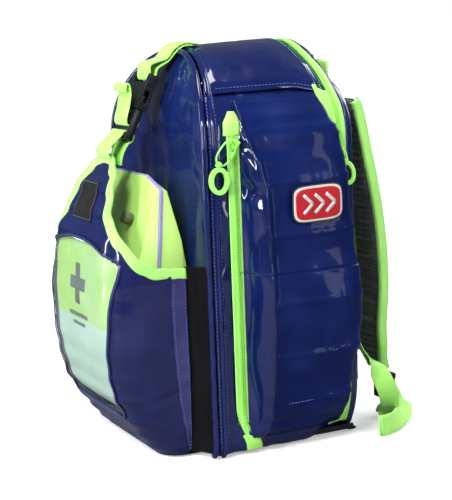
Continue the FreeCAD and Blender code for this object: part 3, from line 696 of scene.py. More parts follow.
def arch_half(start_z, inset=0.0, step=4.0):
    """Points (x, z, normal x, normal z) from start_z up the right side to the crest."""
    sink, crown_r, angle = crown()
    out = []
    if start_z < FOOT_R:
        for k in range(4):
            turn = math.radians(60) * (1 - k / 4)
            reach = FOOT_R - inset
            out.append((HALF_WIDTH - FOOT_R + reach * math.cos(turn), FOOT_R - reach * math.sin(turn),
                        math.cos(turn), -math.sin(turn)))
        start_z = FOOT_R
    if start_z < SPRING_Z:
        count = max(int((SPRING_Z - start_z) / step), 1)
        out += [(HALF_WIDTH - inset, z, 1.0, 0.0) for z in steps(start_z, SPRING_Z, count)[:-1]]
    shoulder = steps(0, angle, max(int(SHOULDER_R * angle / step), 2))[:-1]
    top = steps(angle, math.pi / 2, max(int(crown_r * (math.pi / 2 - angle) / step), 2))
    for turns, radius, across, up in ((shoulder, SHOULDER_R, HALF_WIDTH - SHOULDER_R, SPRING_Z),
                                      (top, crown_r, 0.0, SPRING_Z - sink)):
        for turn in turns:
            z = up + (radius - inset) * math.sin(turn)
            if z >= start_z - 0.01:
                out.append((across + (radius - inset) * math.cos(turn), z, math.cos(turn), math.sin(turn)))
    return out


def arch_round(start_z, inset=0.0, step=4.0):
    """The whole outline, up the right side, over the crest and down the left."""
    right = arch_half(start_z, inset, step)
    return right + [(-x, z, -nx, nz) for x, z, nx, nz in reversed(right[:-1])]


def settle(point):
    """The filled bag leans back at its crest, sinks a little, and draws in at its back corners."""
    rise = max(point.z - 372, 0) / 118
    share = min(max((76 - point.y) / 171, 0), 1)
    low = max(70 - point.z, 0) / 70
    behind = ease((point.y - 20) / 60)
    narrow = 1 - 0.02 * rise * share - 0.17 * low ** 2 * behind
    shoulder = 9 * ease((point.z - 400) / 50) * ease(abs(point.x) / 70) * behind
    return Vector((point.x * narrow, point.y + 31 * rise ** 2 * share,
                   point.z - (5 + 5 * share) * rise ** 2 - shoulder))


def settled(x, y, z):
    return settle(Vector((x, y, z)))


def on_body(outline, y, lift):
    """A line round the body at one y, raised off its surface."""
    return [settled(x + nx * lift, y, z + nz * lift) for x, z, nx, nz in outline]


def outward(outline):
    """The surface normals along an outline."""
    return [Vector((nx, 0, nz)) for _, _, nx, nz in outline]


def wall_half_width(z):
    """Half the body's width at a height."""
    if z <= SPRING_Z:
        return HALF_WIDTH
    sink, crown_r, angle = crown()
    if z < SPRING_Z + SHOULDER_R * math.sin(angle):
        return HALF_WIDTH - SHOULDER_R + math.sqrt(SHOULDER_R ** 2 - (z - SPRING_Z) ** 2)
    return math.sqrt(max(crown_r ** 2 - (z - SPRING_Z + sink) ** 2, 0))


def edge_distance(x, z):
    """How far a place on the front or back panel is from the body's outline."""
    sink, crown_r, _ = crown()
    out = min(HALF_WIDTH - abs(x), z)
    if z > SPRING_Z:
        out = min(out, crown_r - math.hypot(x, z - SPRING_Z + sink))
        if abs(x) > HALF_WIDTH - SHOULDER_R:
            out = min(out, SHOULDER_R - math.hypot(abs(x) - HALF_WIDTH + SHOULDER_R, z - SPRING_Z))
    return max(out, 0.0)


def front_depth(x, z, edge):
    """How far the front panel puffs out; edge is the distance from its piping."""
    puff = 5.0 * (1 - math.exp(-edge / 22))
    folds = 1.5 * max(crease(x, 0, z * 0.35, 42, 3.1), -0.5) + 0.8 * crinkle(x, 0, z, 19, 1.7)
    pull = 1.8 * math.exp(-((x / 36) ** 2)) * math.sin(z / 9.0) * math.exp(-((z - 452) / 24) ** 2)
    return puff + (folds + pull) * (1 - math.exp(-edge / 12))


def front_panel():
    """The puffed and folded front skin."""
    def place(edge, share):
        x, z = edge[0] * share, edge[1]
        return settled(x, FRONT_Y + 1 - front_depth(x, z, max(edge_distance(x, z) - 4, 0)), z)

    rows = grid_of(arch_half(5.5, 4.0, 4.5), steps(-1, 1, 56), place)
    sheet("front_panel_skin", rows, 3.0, NAVY, "case", "front_panel", "navy_tarpaulin")


def piping():
    """Two corded ridges round the front edge, with a stitched valley between them."""
    for number, (y, inset, radius) in enumerate(((-98.0, 1.5, 3.6), (-86.5, -0.8, 2.9))):
        outline = arch_round(6.0, inset, 3.0)
        points = []
        for x, z, nx, nz in outline:
            wobble = 0.5 * crinkle(x, y, z, 14, 5.0 + number)
            points.append(settled(x + nx * wobble, y + wobble, z + nz * wobble))
        bar("front_piping_ridge_%d" % number, points, outward(outline), round_profile(radius), NAVY, "case",
            () if number else "front_piping", "navy_tarpaulin")
    outline = arch_round(20.0, 0.0, 3.0)
    stitching("front_edge_stitching", [(on_body(outline, y, 0.3), outward(outline)) for y in (-91.8, -82.2)],
              THREAD, "navy_tarpaulin")


def side_skin(side, name, nodes):
    """One side of the body: sunk between its seams and crumpled."""
    def place(edge, y):
        x, z, nx, nz = edge
        seed = 2.0 + side
        folds = 1.1 * max(crease(0, y * 1.2, z * 0.5, 34, seed), -0.4) + 0.7 * crinkle(0, y, z, 15, seed)
        lift = (folds - 1.6) * ease(min(y + 91, 76 - y) / 14) - ease((z - SEAM_Z + 14) / 14)
        return settled(side * (x + nx * lift), y, z + nz * lift)

    rows = grid_of([p for p in arch_half(6.0) if p[1] <= SEAM_Z], steps(-93, 77, 44), place)
    sheet("side_skin_" + name, rows, 2.4, NAVY, "case", nodes, "navy_tarpaulin", flip=side < 0)


def top_skin():
    """The top panel, a little proud of the sides it is sewn to."""
    def place(edge, y):
        x, z, nx, nz = edge
        folds = 0.9 * max(crease(x * 0.6, y * 0.5, 0, 40, 7.7), -0.4) + 0.6 * crinkle(x, y, z, 22, 8)
        lift = 1.6 + (2.2 * ease((z - SEAM_Z) / 10) + folds) * ease(min(y + 91, 76 - y) / 14)
        return settled(x + nx * lift, y, z + nz * lift)

    rows = grid_of([p for p in arch_round(6.0, 0.0, 3.5) if p[1] >= SEAM_Z - 4], steps(-93, 77, 46), place)
    sheet("top_skin", rows, 2.6, NAVY, "case", "top_panel", "navy_tarpaulin")
    x, z, nx, nz = arch_half(SEAM_Z + 1.5, 0.0, 2.0)[0]
    seams = [([settled(side * (x + 2.4 * nx), y, z + 2.4 * nz) for y in range(-78, 66, 4)],
              Vector((side * nx, 0, nz))) for side, _ in SIDES]
    stitching("top_seam_stitching", seams, THREAD, "navy_tarpaulin")


def base():
    """Black base cloth, turned up a little at the sides, and the fold that the back panel hinges on."""
    def place(y, u):
        turned_up = 75 * max(abs(u) - 0.9, 0)
        return Vector((u * 134, y, 0.4 + turned_up + 0.5 * (1 + crinkle(u * 134, y, 0, 25, 4))))

    def fold_place(share, c):
        drop = 2.6 - 1.4 * math.sin(math.pi * share)
        return Vector((-126 + 252 * c / 40, 90 + 13.5 * share, drop + 0.4 * crinkle(c * 6, 0, 0, 20)))

    sheet("base_skin", grid_of(steps(-91, 95, 24), steps(-1, 1, 40), place), 4.2, BASE_CLOTH, "case",
          "base_panel", "black_fabric", flip=True)
    hinge = sheet("base_fold", grid_of(steps(0, 1, 8), range(41), fold_place), 1.4, BASE_CLOTH, None, (),
                  "black_fabric", flip=True)
    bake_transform(hinge)


def arch_strip(name, y_low, y_high, lift, thick, material, body, nodes):
    """A tape that runs round the whole outline, flat on the body, with its edges pressed down."""
    def place(edge, k):
        x, z, nx, nz = edge
        y = blend_values(y_low, y_high, k / 8)
        here = lift + 0.3 * crinkle(x, y, z, 12, lift) - 0.5 * (k in (0, 8))
        return settled(x + nx * here, y, z + nz * here)

    rows = grid_of(arch_round(15.0, 0.0, 3.5), range(9), place)
    sheet(name, rows, thick, material, body, nodes, "lime_tape")


def teeth(name, points, normals, toward, body):
    """One half of a coil zip: a row of small rounded teeth that point towards the other half."""
    count = int(length_of(points) / 1.7)
    build = Build()
    for place, up in zip(even(points, count), even(normals, count)):
        build.block(place + up * 0.3, toward, up, (2.6, 1.0, 1.7), 0.7)
    return build.make(name, LIME_METAL, body, (), "lime_tape")


def main_zip():
    """Lime tape on each side of the teeth, with a turned and stitched outer edge."""
    arch_strip("main_zip_tape_case", 60.0, 78.4, 1.5, 1.5, LIME_TAPE, "case", "main_zip_tape_front")
    arch_strip("main_zip_tape_panel", 80.8, 89.0, 1.3, 1.5, LIME_TAPE, "back", "main_zip_tape_back")
    arch_strip("main_zip_hem_case", 59.0, 66.0, 2.6, 1.2, LIME_WEB, "case", ())
    outline = arch_round(18.0, 0.0, 3.0)
    normals = outward(outline)
    for name, y, way, body in (("case", 78.6, 1, "case"), ("panel", 80.6, -1, "back")):
        teeth("main_zip_teeth_" + name, on_body(outline, y, 1.6), normals, Y_AXIS * way, body)
    rows = [(on_body(outline, y, lift), normals, 2.6, 1.4) for y, lift in ((64.5, 3.0), (71.0, 1.8))]
    stitching("main_zip_stitching", rows, LIME_THREAD, "lime_tape")


# ======================================= side pockets ==============================================
# Curves against height: the pocket's depth, its slack towards the back, and its back seam's y
LIFT = ((20, 6), (34, 19), (55, 30), (84, 36), (120, 41), (160, 45), (207, 44), (250, 40), (300, 36.5),
        (345, 32), (378, 25), (400, 16), (424, 4))
SAG = ((40, 0), (70, 2), (100, 6), (130, 11), (160, 14), (207, 13), (250, 8), (300, 4), (350, 0.5), (424, 0))
BACK_SEAM = ((350, 75.5), (378, 72), (400, 64), (424, 60))
# The corded crease between the quilted panel and the gusset: its y, and its share of the pocket's lift
CREASE_Y = ((20, -38), (318, -38), (345, -42), (365, -47), (385, -52), (424, -55))
CREASE_LIFT = ((20, 0.98), (325, 0.98), (350, 0.90), (370, 0.66), (390, 0.36), (424, 0.2))
POCKET_LOW, MID_Z, POCKET_HIGH = 20.0, 222.0, 424.0
# Half of the pocket, its heights, and where its blend from the case to the door starts and ends
HALVES = (("lower", POCKET_LOW, MID_Z, 0.020, 0.100), ("upper", MID_Z, POCKET_HIGH, 0.424, 0.345))


def pocket_profile(z):
    """The side pocket's outline in plan at one height, from its back seam to its zip."""
    wall = wall_half_width(z) + 0.6
    lift, sag = table(z, LIFT), table(z, SAG)
    back = table(z, BACK_SEAM)
    rise, fold = table(z, CREASE_LIFT) * lift, table(z, CREASE_Y)
    panel = [(wall, back - 0.5), (wall + 0.24 * lift, back + 0.3), (wall + 0.52 * lift, back + sag * 0.8),
             (wall + 0.82 * lift, back - 3.5 + sag), (wall + 0.98 * lift, back - 18 + sag * 0.6),
             (wall + 1.02 * lift, 20), (wall + 0.5 * lift + 0.5 * rise, -18), (wall + rise, fold)]
    gusset = [(wall + rise, fold), (wall + 0.68 * rise, blend_values(fold, -56, 0.44)),
              (wall + 0.31 * rise, blend_values(fold, -56, 0.79)), (wall + 0.8, -56)]
    return panel, gusset


def panel_relief(y, z, share):
    """Relief of the quilted panel: puffed between its sewn channels, and flat at its seams."""
    near = min(abs(z - c - 0.02 * (y - 20)) for c in CHANNELS)
    puff = 2.5 * (1 - math.exp(-near / 14)) - 1.6 * math.exp(-((near / 1.5) ** 2))
    pucker = 0.6 * crinkle(0, y, z * 0.2, 9, 2.2) * math.exp(-near / 9)
    low = ease((150 - z) / 90)
    folds = (0.6 + 1.5 * low) * max(crease(0, y * 0.5 + z * 0.5, z * 0.8, 42, 6.4), -0.5)
    folds += 0.5 * crinkle(0, y, z, 24, 9.1)
    flat = 1.2 * (1 - ease((1 - share) / 0.03))
    return (puff + pucker + folds) * ease(share / 0.10) * ease((1 - share) / 0.05) - flat


def gusset_relief(side, z, share):
    """Relief of the glossy gusset: slanted folds near its top and softer ones below."""
    upper = ease((z - 290) / 40) * ease((384 - z) / 25)
    slant = math.sin((z + 26 * (1 - share)) / 8.4) + 0.4 * math.sin((z - 20 * share) / 4.7)
    out = 1.2 + 2.2 * upper * slant
    out += (1 - 0.6 * upper) * 1.5 * max(crease(share * 24, side, z * 0.22, 20, 3.3), -0.6)
    out += 0.5 * crinkle(share * 24, side, z * 0.5, 14, 5.5)
    return out * ease(share / 0.22) * ease((1 - share) / 0.22)


def pocket_rows(side, heights, part, columns):
    """Rows of points across the pocket's panel or gusset."""
    rows = []
    for z in heights:
        points = pocket_profile(z)[0 if part == "panel" else 1]
        line = curve([(x, y, z) for x, y in points], columns)
        ends = ease(min(z - POCKET_LOW, POCKET_HIGH - z) / 16)
        row = []
        for c, (point, way) in enumerate(zip(line, tangents(line))):
            share = c / (columns - 1)
            here = panel_relief(point.y, z, share) if part == "panel" else gusset_relief(side, z, share)
            moved = point + Vector((way.y, -way.x, 0)) * (here * ends)
            row.append(settled(side * max(moved.x, wall_half_width(z) + 0.6), moved.y, moved.z))
        rows.append(row)
    return rows


def panel_x(y, z):
    """Where the quilted panel lies outwards at a place on it, without its wrinkles."""
    line = curve([(a, b, 0) for a, b in pocket_profile(z)[0]], 40)
    best = min(line, key=lambda p: abs(p.y - y) + (0 if p.x > HALF_WIDTH + 8 else 100))
    return best.x


def pocket_stitches(side, low, high):
    """Rows of stitches along the quilted panel's channels and beside its zip."""
    rows = []
    for channel in CHANNELS:
        if low <= channel < high:
            places = [(y, channel + 0.02 * (y - 20)) for y in steps(-34, 66, 39)]
            rows.append(([settled(side * (panel_x(y, z) - 0.7), y, z) for y, z in places],
                         Vector((side, 0, 0)), 3.0, 1.2, 0.8))
    heights = steps(max(low, 44), min(high, 380), 60)
    line = [settled(side * (wall_half_width(z) + 3.6), -51.6, z) for z in heights]
    return rows + [(line, Vector((side, -0.6, 0)).normalized(), 2.6, 1.5, 0.5, 0.5)]


def side_pocket(side, name):
    """The quilted panel, its glossy gusset, the corded crease between them, the zip and the stitches."""
    def tape_place(z, edge):
        y, lift = edge
        return settled(side * (wall_half_width(z) + lift + 0.25 * crinkle(0, 0, z, 9)), y, z)

    for half, low, high, blend_from, blend_to in HALVES:
        tag = "_%s_%s" % (half, name)
        count = int((high - low) / 3.2)
        heights = steps(low, high, count)
        pieces = []
        for part, columns, material, slot in (("panel", 56, QUILTED, "navy_quilted"),
                                              ("gusset", 22, NAVY, "navy_tarpaulin")):
            rows = pocket_rows(side, heights, part, columns)
            pieces.append(sheet("side_pocket_" + part + tag, rows, 2.2, material, None,
                                "side_pocket_%s_%s" % (part, name), slot, flip=side > 0))
        cord_line = []
        for z in heights:
            x, y = pocket_profile(z)[0][-1]
            cord_line.append(settled(side * (x + 0.4 + 0.5 * crinkle(0, 0, z, 18, 1.1)), y - 0.6, z))
        pieces.append(bar("side_pocket_crease" + tag, cord_line, Vector((side, -1, 0)).normalized(),
                          round_profile(1.7, 8), NAVY, None, (), "navy_tarpaulin"))
        heights = steps(max(low, 40), min(high, 384), count)
        section = ((-59.4, 1.5), (-58.6, 1.9), (-57.2, 2.1), (-55.4, 2.3), (-53.6, 2.6), (-52.4, 2.2))
        pieces.append(sheet("side_zip_tape_door" + tag, grid_of(heights, section, tape_place), 1.2, LIME_TAPE,
                            None, "pocket_zip_tape_" + name, "lime_tape", flip=side < 0))
        zip_line = [settled(side * (wall_half_width(z) + 2.2), -59.9, z) for z in heights]
        pieces.append(teeth("side_zip_teeth_door" + tag, zip_line, [Vector((side, 0, 0))] * len(zip_line),
                            -Y_AXIS, None))
        pieces.append(stitching("side_pocket_stitching" + tag, pocket_stitches(side, low, high), THREAD,
                                "navy_quilted", None))
        for piece in pieces:
            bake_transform(piece)


def zip_bend(z):
    """The side zip turns back towards the harness near its foot."""
    return 17.0 * ease((66 - z) / 62) ** 1.5


def side_zip(side, name):
    """The wall's half of the side zip, the webbing garage over its top and the tab at its foot."""
    out = Vector((side, 0, 0))

    def wall_at(z):
        return wall_half_width(z) - 0.0022 * max(30 - z, 0) ** 2

    def tape_place(z, edge):
        y, lift = edge
        return settled(side * (wall_at(z) + lift + 0.25 * crinkle(0, 3, z, 9)), y + zip_bend(z), z)

    def garage_place(share, u):
        z = blend_values(383, 412, share)
        half = 13.0 if z < 399 else max(13.0 * (417 - z) / 18, 4.5)
        swell = 3.6 + 2.2 * math.sin(math.pi * share) + 0.6 * crinkle(0, 9, z, 6)
        return settled(side * (wall_half_width(z) + swell - 2.6 * abs(u) ** 3), -62 + half * u, z)

    def foot_place(share, u):
        z = blend_values(4, 25, share)
        lift = 2.6 + 1.2 * math.sin(math.pi * share) - 1.6 * abs(u) ** 4
        return Vector((side * (HALF_WIDTH - 0.003 * (30 - z) ** 2 + lift), zip_bend(z) - 64 + 11 * u, z))

    heights = steps(16, 397, 119)
    section = ((-70.8, 0.9), (-70.0, 1.5), (-67.0, 1.7), (-64.0, 1.8), (-62.9, 1.8), (-62.2, 1.3))
    sheet("side_zip_tape_wall_" + name, grid_of(heights, section, tape_place), 1.3, LIME_TAPE, "case",
          "wall_zip_tapes", "lime_tape", flip=side < 0)
    line = [settled(side * (wall_at(z) + 2.2), zip_bend(z) - 62.1, z) for z in heights]
    teeth("side_zip_teeth_wall_" + name, line, [out] * len(line), Y_AXIS, "case")
    edge = [settled(side * (wall_half_width(z) + 2.0), -69.0, z) for z in range(40, 380, 4)]
    stitching("side_zip_stitching_" + name, [(edge, out, 2.4, 1.4, 0.45)], LIME_THREAD, "lime_tape")
    garage = grid_of(steps(0, 1, 14), (-1, -0.85, -0.5, -0.2, 0.2, 0.5, 0.85, 1), garage_place)
    sheet("zip_garage_" + name, garage, 1.8, LIME_WEB, "case", "zip_garages", "lime_webbing", side < 0, 1)
    foot = grid_of(steps(0, 1, 8), (-1, -0.6, 0, 0.6, 1), foot_place)
    sheet("zip_foot_tab_" + name, foot, 2.0, LIME_WEB, "case", (), "lime_webbing", side < 0, 1)


BADGE_Y, BADGE_Z = 25.0, 301.0
BADGE_HALF_WIDTH, BADGE_HALF_HEIGHT = 32.0, 20.5


def badge():
    """A plain moulded badge in red with a pale rim and three chevrons."""
    front = max(panel_x(y, z) for y in (-5, 28, 61) for z in (289, 333)) + 2.6

    def ring(depth, grow):
        """A rounded rectangle that stands clear of the panel by a depth."""
        points = []
        for turn in steps(0, 2 * math.pi, 72):
            c, s = math.cos(turn), math.sin(turn)
            reach = (abs(c) ** 5 + abs(s) ** 5) ** (-1 / 5)
            across, up = c * reach * (BADGE_HALF_WIDTH + grow), s * reach * (BADGE_HALF_HEIGHT + grow)
            points.append(Vector((front + depth, BADGE_Y + across, BADGE_Z + up + 0.02 * across)))
        points[-1] = points[0]
        return points

    for name, grow, low, high, material, nodes in (
            ("badge_dark_edge", 1.6, -1.6, 0.2, BADGE_DARK, ()),
            ("badge_pale_rim", 0.2, -0.4, 0.9, BADGE_PALE, ()),
            ("badge_red_face", -2.2, 0.2, 1.4, BADGE_RED, "side_badge")):
        build = Build()
        section = ((0.0, low), (0.0, high - 0.5), (-0.5, high), (-3.0, high + 0.1), (-12.0, high + 0.15))
        rows = [ring(x, grow + g) for g, x in section]
        first = build.grid(rows, flip=True)
        wide = len(rows[0])
        build.faces.append(tuple(first + 4 * wide + c for c in range(wide - 1)))
        build.faces.append(tuple(first + c for c in range(wide - 1))[::-1])
        build.make(name, material, "side_pocket_right", nodes, "red_badge", 0, 40)
    marks = Build()
    for k in (-1, 0, 1):
        for up in (1, -1):
            tip = Vector((front + 1.9, BADGE_Y + 15 * k + 7, BADGE_Z + 0.3 * k))
            far = Vector((front + 1.9, BADGE_Y + 15 * k - 5, BADGE_Z + 11 * up))
            marks.block((tip + far) / 2, far - tip, X_AXIS, ((far - tip).length, 4.0, 1.0), 0.95)
    marks.make("badge_chevrons", BADGE_PALE, "side_pocket_right", (), "red_badge")


for SIDE, NAME in SIDES:
    make_pull_cord(SIDE, NAME)
front_panel()
piping()
for SIDE, NAME in SIDES:
    side_skin(SIDE, NAME, "side_walls" if SIDE > 0 else ())
top_skin()
base()
main_zip()
for SIDE, NAME in SIDES:
    side_pocket(SIDE, NAME)
    side_zip(SIDE, NAME)
badge()


# ======================================= front pocket ==============================================
# Curves against height: the pocket's front y, its half width, its corner radius, and s on its bound edge
POCKET_FRONT = ((1.5, -148), (14, -160), (31, -173), (50, -186), (79, -200), (110, -207), (137, -211),
                (189, -212), (225, -209), (262, -203), (290, -194), (318, -184), (340, -172), (354, -164))
POCKET_HALF = ((1.5, 104), (14, 109), (42, 113), (90, 116), (240, 116), (262, 113), (300, 96), (354, 80))
POCKET_CORNER = ((1.5, 28), (14, 34), (42, 39), (90, 42), (240, 42), (262, 44), (300, 40), (354, 30))
RIM = ((226, 3.0), (228, 2.45), (231, 2.02), (238, 1.82), (248, 1.66), (262, 1.48), (276, 1.26), (290, 1.12),
       (304, 1.04), (318, 0.96), (330, 0.84), (340, 0.68), (347, 0.46), (352, 0.22), (354, 0.0))
POCKET_SIDE_END = -118.0
# Corners (s, z) of the window, from low on its left edge round its top to low on its right
WINDOW_EDGE = ((1.08, 54), (1.16, 100), (1.26, 150), (1.38, 200), (1.50, 240), (1.08, 253), (0.5, 261))
WINDOW = (*((-s, z) for s, z in WINDOW_EDGE), (0.0, 263), *WINDOW_EDGE[::-1],
          (0.6, 51.5), (0.0, 51), (-0.6, 51.5))


def pocket_place(s, z, lift=0.0):
    """A point of the pocket's skin. Its height is z, and s runs 0 to 1 over the flat front, to 2 round the
    corner and to 3 along the side; it is negative on the left."""
    front, half, corner = table(z, POCKET_FRONT), table(z, POCKET_HALF), table(z, POCKET_CORNER)
    flat = half - corner
    t = abs(s)
    if t <= 1:
        x, y, nx, ny = t * flat, front, 0.0, -1.0
    elif t <= 2:
        turn = (t - 1) * math.pi / 2
        x, y = flat + corner * math.sin(turn), front + corner * (1 - math.cos(turn))
        nx, ny = math.sin(turn), -math.cos(turn)
    else:
        x, y, nx, ny = half, blend_values(front + corner, POCKET_SIDE_END, t - 2), 1.0, 0.0
    bulge = 3.0 * math.cos(min(t / 2, 1) * math.pi / 2) * ease((z - 10) / 80) * ease((300 - z) / 60)
    side = -1 if s < 0 else 1
    out = lift + bulge
    return Vector((side * (x + nx * out), y + ny * out, z)), Vector((side * nx, ny, 0.0))


def pocket_relief(s, z):
    """Folds of the pocket's skin; they die away at its seams."""
    folds = 0.9 * max(crease(s * 20, 0, z * 0.35, 26, 4.4), -0.5) + 0.6 * crinkle(s * 34, 0, z, 26, 6.6)
    if abs(s) > 1.25 and z < 230:
        folds += 1.1 * crinkle(0, 0, z, 19, s > 0) * math.exp(-((abs(s) - 1.5) / 0.3) ** 2)
    return folds - 1.6 * math.exp(-((z - 52 - 12 * abs(s)) / 5) ** 2)


def on_pocket(s, z, lift, relief):
    """A point that follows a share of the pocket's folds."""
    return pocket_place(s, z, lift + pocket_relief(s, z) * relief)[0]


def inside_window(s, z, grow=0.0):
    """Whether a place on the face lies in the window."""
    found = False
    for (s1, z1), (s2, z2) in zip(WINDOW, WINDOW[1:] + WINDOW[:1]):
        if (z1 > z) != (z2 > z) and s < (s2 - s1) * (z - z1) / (z2 - z1) + s1:
            found = not found
    if found or not grow:
        return found
    moves = ((grow / 70, 0), (-grow / 70, 0), (0, grow), (0, -grow))
    return any(inside_window(s + a, z + b) for a, b in moves)


def patch(name, s_values, z_values, keep, lift, relief, thick, material, nodes, slot):
    """Part of the pocket's skin: the grid cells inside its bound edge whose middles keep() accepts."""
    build = Build()
    wide = len(s_values)
    for sink in (0.0, thick):
        for z in z_values:
            limit = table(z, RIM)
            for s in s_values:
                here = max(min(s, limit), -limit)
                fade = ease((limit - abs(here)) / 0.10 + 0.15)
                build.uvs[len(build.verts)] = (z * MM, here * 0.06)
                build.verts.append(on_pocket(here, z, lift - sink, relief * fade))
    inner = wide * len(z_values)
    kept = {}
    for r in range(len(z_values) - 1):
        for c in range(wide - 1):
            s, z = (s_values[c] + s_values[c + 1]) / 2, (z_values[r] + z_values[r + 1]) / 2
            if abs(s) < table(z, RIM) and (keep is None or keep(s, z)):
                a = r * wide + c
                kept[(r, c)] = (a, a + 1, a + wide + 1, a + wide)
    for (r, c), (a, b, d, e) in kept.items():
        build.faces.append((a, b, d, e))
        build.faces.append((e + inner, d + inner, b + inner, a + inner))
        for (dr, dc), (p, q) in {(-1, 0): (a, b), (0, 1): (b, d), (1, 0): (d, e), (0, -1): (e, a)}.items():
            if (r + dr, c + dc) not in kept:
                build.faces.append((q, p, p + inner, q + inner))
    used = sorted({v for face in build.faces for v in face})
    renumber = {v: k for k, v in enumerate(used)}
    build.faces = [tuple(renumber[v] for v in face) for face in build.faces]
    build.uvs = {renumber[v]: uv for v, uv in build.uvs.items() if v in renumber}
    build.verts = [build.verts[v] for v in used]
    return build.make(name, material, "case", nodes, slot, 0, 50)


def front_pocket():
    """The pocket's face, flap and floor, the window film in its hem, and the underside."""
    def outside_window(s, z):
        return not inside_window(s, z)

    def behind_hem(s, z):
        return inside_window(s, z, 3.0)

    def under_place(share, s):
        front = pocket_place(s, 1.5)[0]
        return Vector((front.x, blend_values(front.y, -96, share), 1.2))

    # The face and floor skins take the navy with the painted sheen.
    for name, s_values, z_values, keep, lift, relief, thick, material, nodes, slot in (
            ("face_skin", spaced(-3, 3, 0.045), spaced(15, 262, 3.0), outside_window, 0.0, 1.0, 2.6, PAINTED_SHEEN_NAVY,
             ("pocket_face", "pocket_sides"), "navy_tarpaulin"),
            ("flap_skin", spaced(-1.6, 1.6, 0.045), spaced(262, 354, 2.2), None, 0.0, 0.8, 2.6, NAVY,
             "pocket_flap", "navy_tarpaulin"),
            ("floor_skin", spaced(-3, 3, 0.08), spaced(1.5, 15, 2.2), None, 0.0, 0.5, 2.6, PAINTED_SHEEN_NAVY,
             "pocket_floor", "navy_tarpaulin"),
            ("window_film", spaced(-1.68, 1.68, 0.04), spaced(46, 266, 2.6), behind_hem, -0.6, 1.1, 0.5, VINYL,
             "pocket_window", "clear_vinyl")):
        patch("pocket_" + name, s_values, z_values, keep, lift, relief, thick, material, nodes, slot)
    under = grid_of(steps(0, 1, 11), steps(-3, 3, 40), under_place)
    sheet("pocket_underside", under, 1.2, BASE_CLOTH, "case", (), "navy_tarpaulin", flip=True)

    ring = [(p.x / 60, p.y) for p in curve([(s * 60, z, 0) for s, z in WINDOW + WINDOW[:1]], 170)]
    hem_line = [on_pocket(s, z, 0.9, 0.95) for s, z in ring]
    ups = [pocket_place(s, z)[1] for s, z in ring]
    # The window hem takes the navy with the painted sheen too.
    bar("pocket_window_hem", hem_line, ups, flat_profile(5.0, 1.2), PAINTED_SHEEN_NAVY, "case", (), "navy_tarpaulin",
        closed=True)
    stitching("pocket_window_stitching", [([p + n * 0.9 for p, n in zip(hem_line, ups)], ups, 2.8, 1.6, 0.5)],
              THREAD, "navy_tarpaulin")


def pocket_side(side, name):
    """The seam tape with its stitches, and the stretch gusset between the pocket and the bag."""
    def tape_place(z, s):
        return on_pocket(side * s, z, 1.2 + 0.9 * crinkle(0, s, z, 9), 0.8)

    def gusset_place(z, share):
        half = table(z, POCKET_HALF)
        swell = math.sin(math.pi * share)
        x = half - 1.0 + (140 - half) * share ** 1.2 - 3.0 * swell
        x += 1.6 * swell * math.sin(11 * share + 0.02 * z)
        x += 0.9 * crinkle(x, share * 20, z * 0.4, 12, 3) * swell
        return Vector((side * x, blend_values(POCKET_SIDE_END - 1.5, -97.5, share), z))

    tape = grid_of(spaced(8, 220, 3.5), (2.62, 2.65, 2.74, 2.84, 2.95, 2.99), tape_place)
    sheet("pocket_seam_tape_" + name, tape, 1.0, BAND, "case", (), "navy_tarpaulin", flip=side < 0)
    rows = [([on_pocket(side * s, z, 2.1, 0.8) for z in spaced(10, 216, 4)], X_AXIS * side, 2.6, 1.5, 0.5)
            for s in (2.66, 2.95)]
    stitching("pocket_seam_stitching_" + name, rows, THREAD, "navy_tarpaulin")
    gusset = grid_of(spaced(6, 232, 3.2), steps(0, 1, 12), gusset_place)
    sheet("pocket_gusset_skin_" + name, gusset, 1.8, STRETCH, "case", "pocket_gussets", "black_stretch",
          flip=side < 0)


def rim_path():
    """The bound edge, from the right gusset up round the flap's tip and down to the left gusset."""
    right = [(3.0, 225.0), (2.8, 225.5), (2.45, 226.5), (2.15, 228.5), (1.98, 233), (1.82, 239),
             (1.66, 248.5), (1.48, 262), (1.26, 276), (1.12, 290), (1.04, 304), (0.96, 318), (0.84, 330),
             (0.68, 340), (0.46, 347), (0.22, 352), (0.0, 353.5)]
    whole = right + [(-s, z) for s, z in reversed(right[:-1])]
    line, ups = [], []
    for point in curve([(s * 60, z, 0) for s, z in whole], 150):
        s, z = point.x / 60, point.y
        place, normal = pocket_place(s, z, -1.2)
        wave = 0.9 * crinkle(s * 60, 0, z, 13, 8.8)
        line.append(place + normal * wave + Vector((0, 0, 0.8 * crinkle(s * 60, 5, z, 11, 2))))
        ups.append((normal + Vector((0, 0, 0.35 if z > 262 else 0.0))).normalized())
    return line, ups


def binding():
    """Lime tape folded over the pocket's and the flap's edge, with its seam."""
    line, ups = rim_path()
    profile = [(6.5, 0.2), (6.2, 2.0), (3, 2.5), (-1, 2.6), (-5, 2.4), (-6.6, 1.6), (-7.3, 0), (-6.6, -1.6),
               (-5, -2.4), (-1, -2.6), (3, -2.5), (6.2, -2.0)]
    bar("pocket_edge_binding", line, ups, profile[::-1], LIME_TAPE, "case", "pocket_binding", "lime_tape")
    inner = [point + up * 2.55 + along.cross(up).normalized() * 4.2
             for point, up, along in zip(line, ups, tangents(line))]
    stitching("pocket_edge_stitching", [(inner, ups, 2.6, 1.5, 0.5)], LIME_THREAD, "lime_tape")


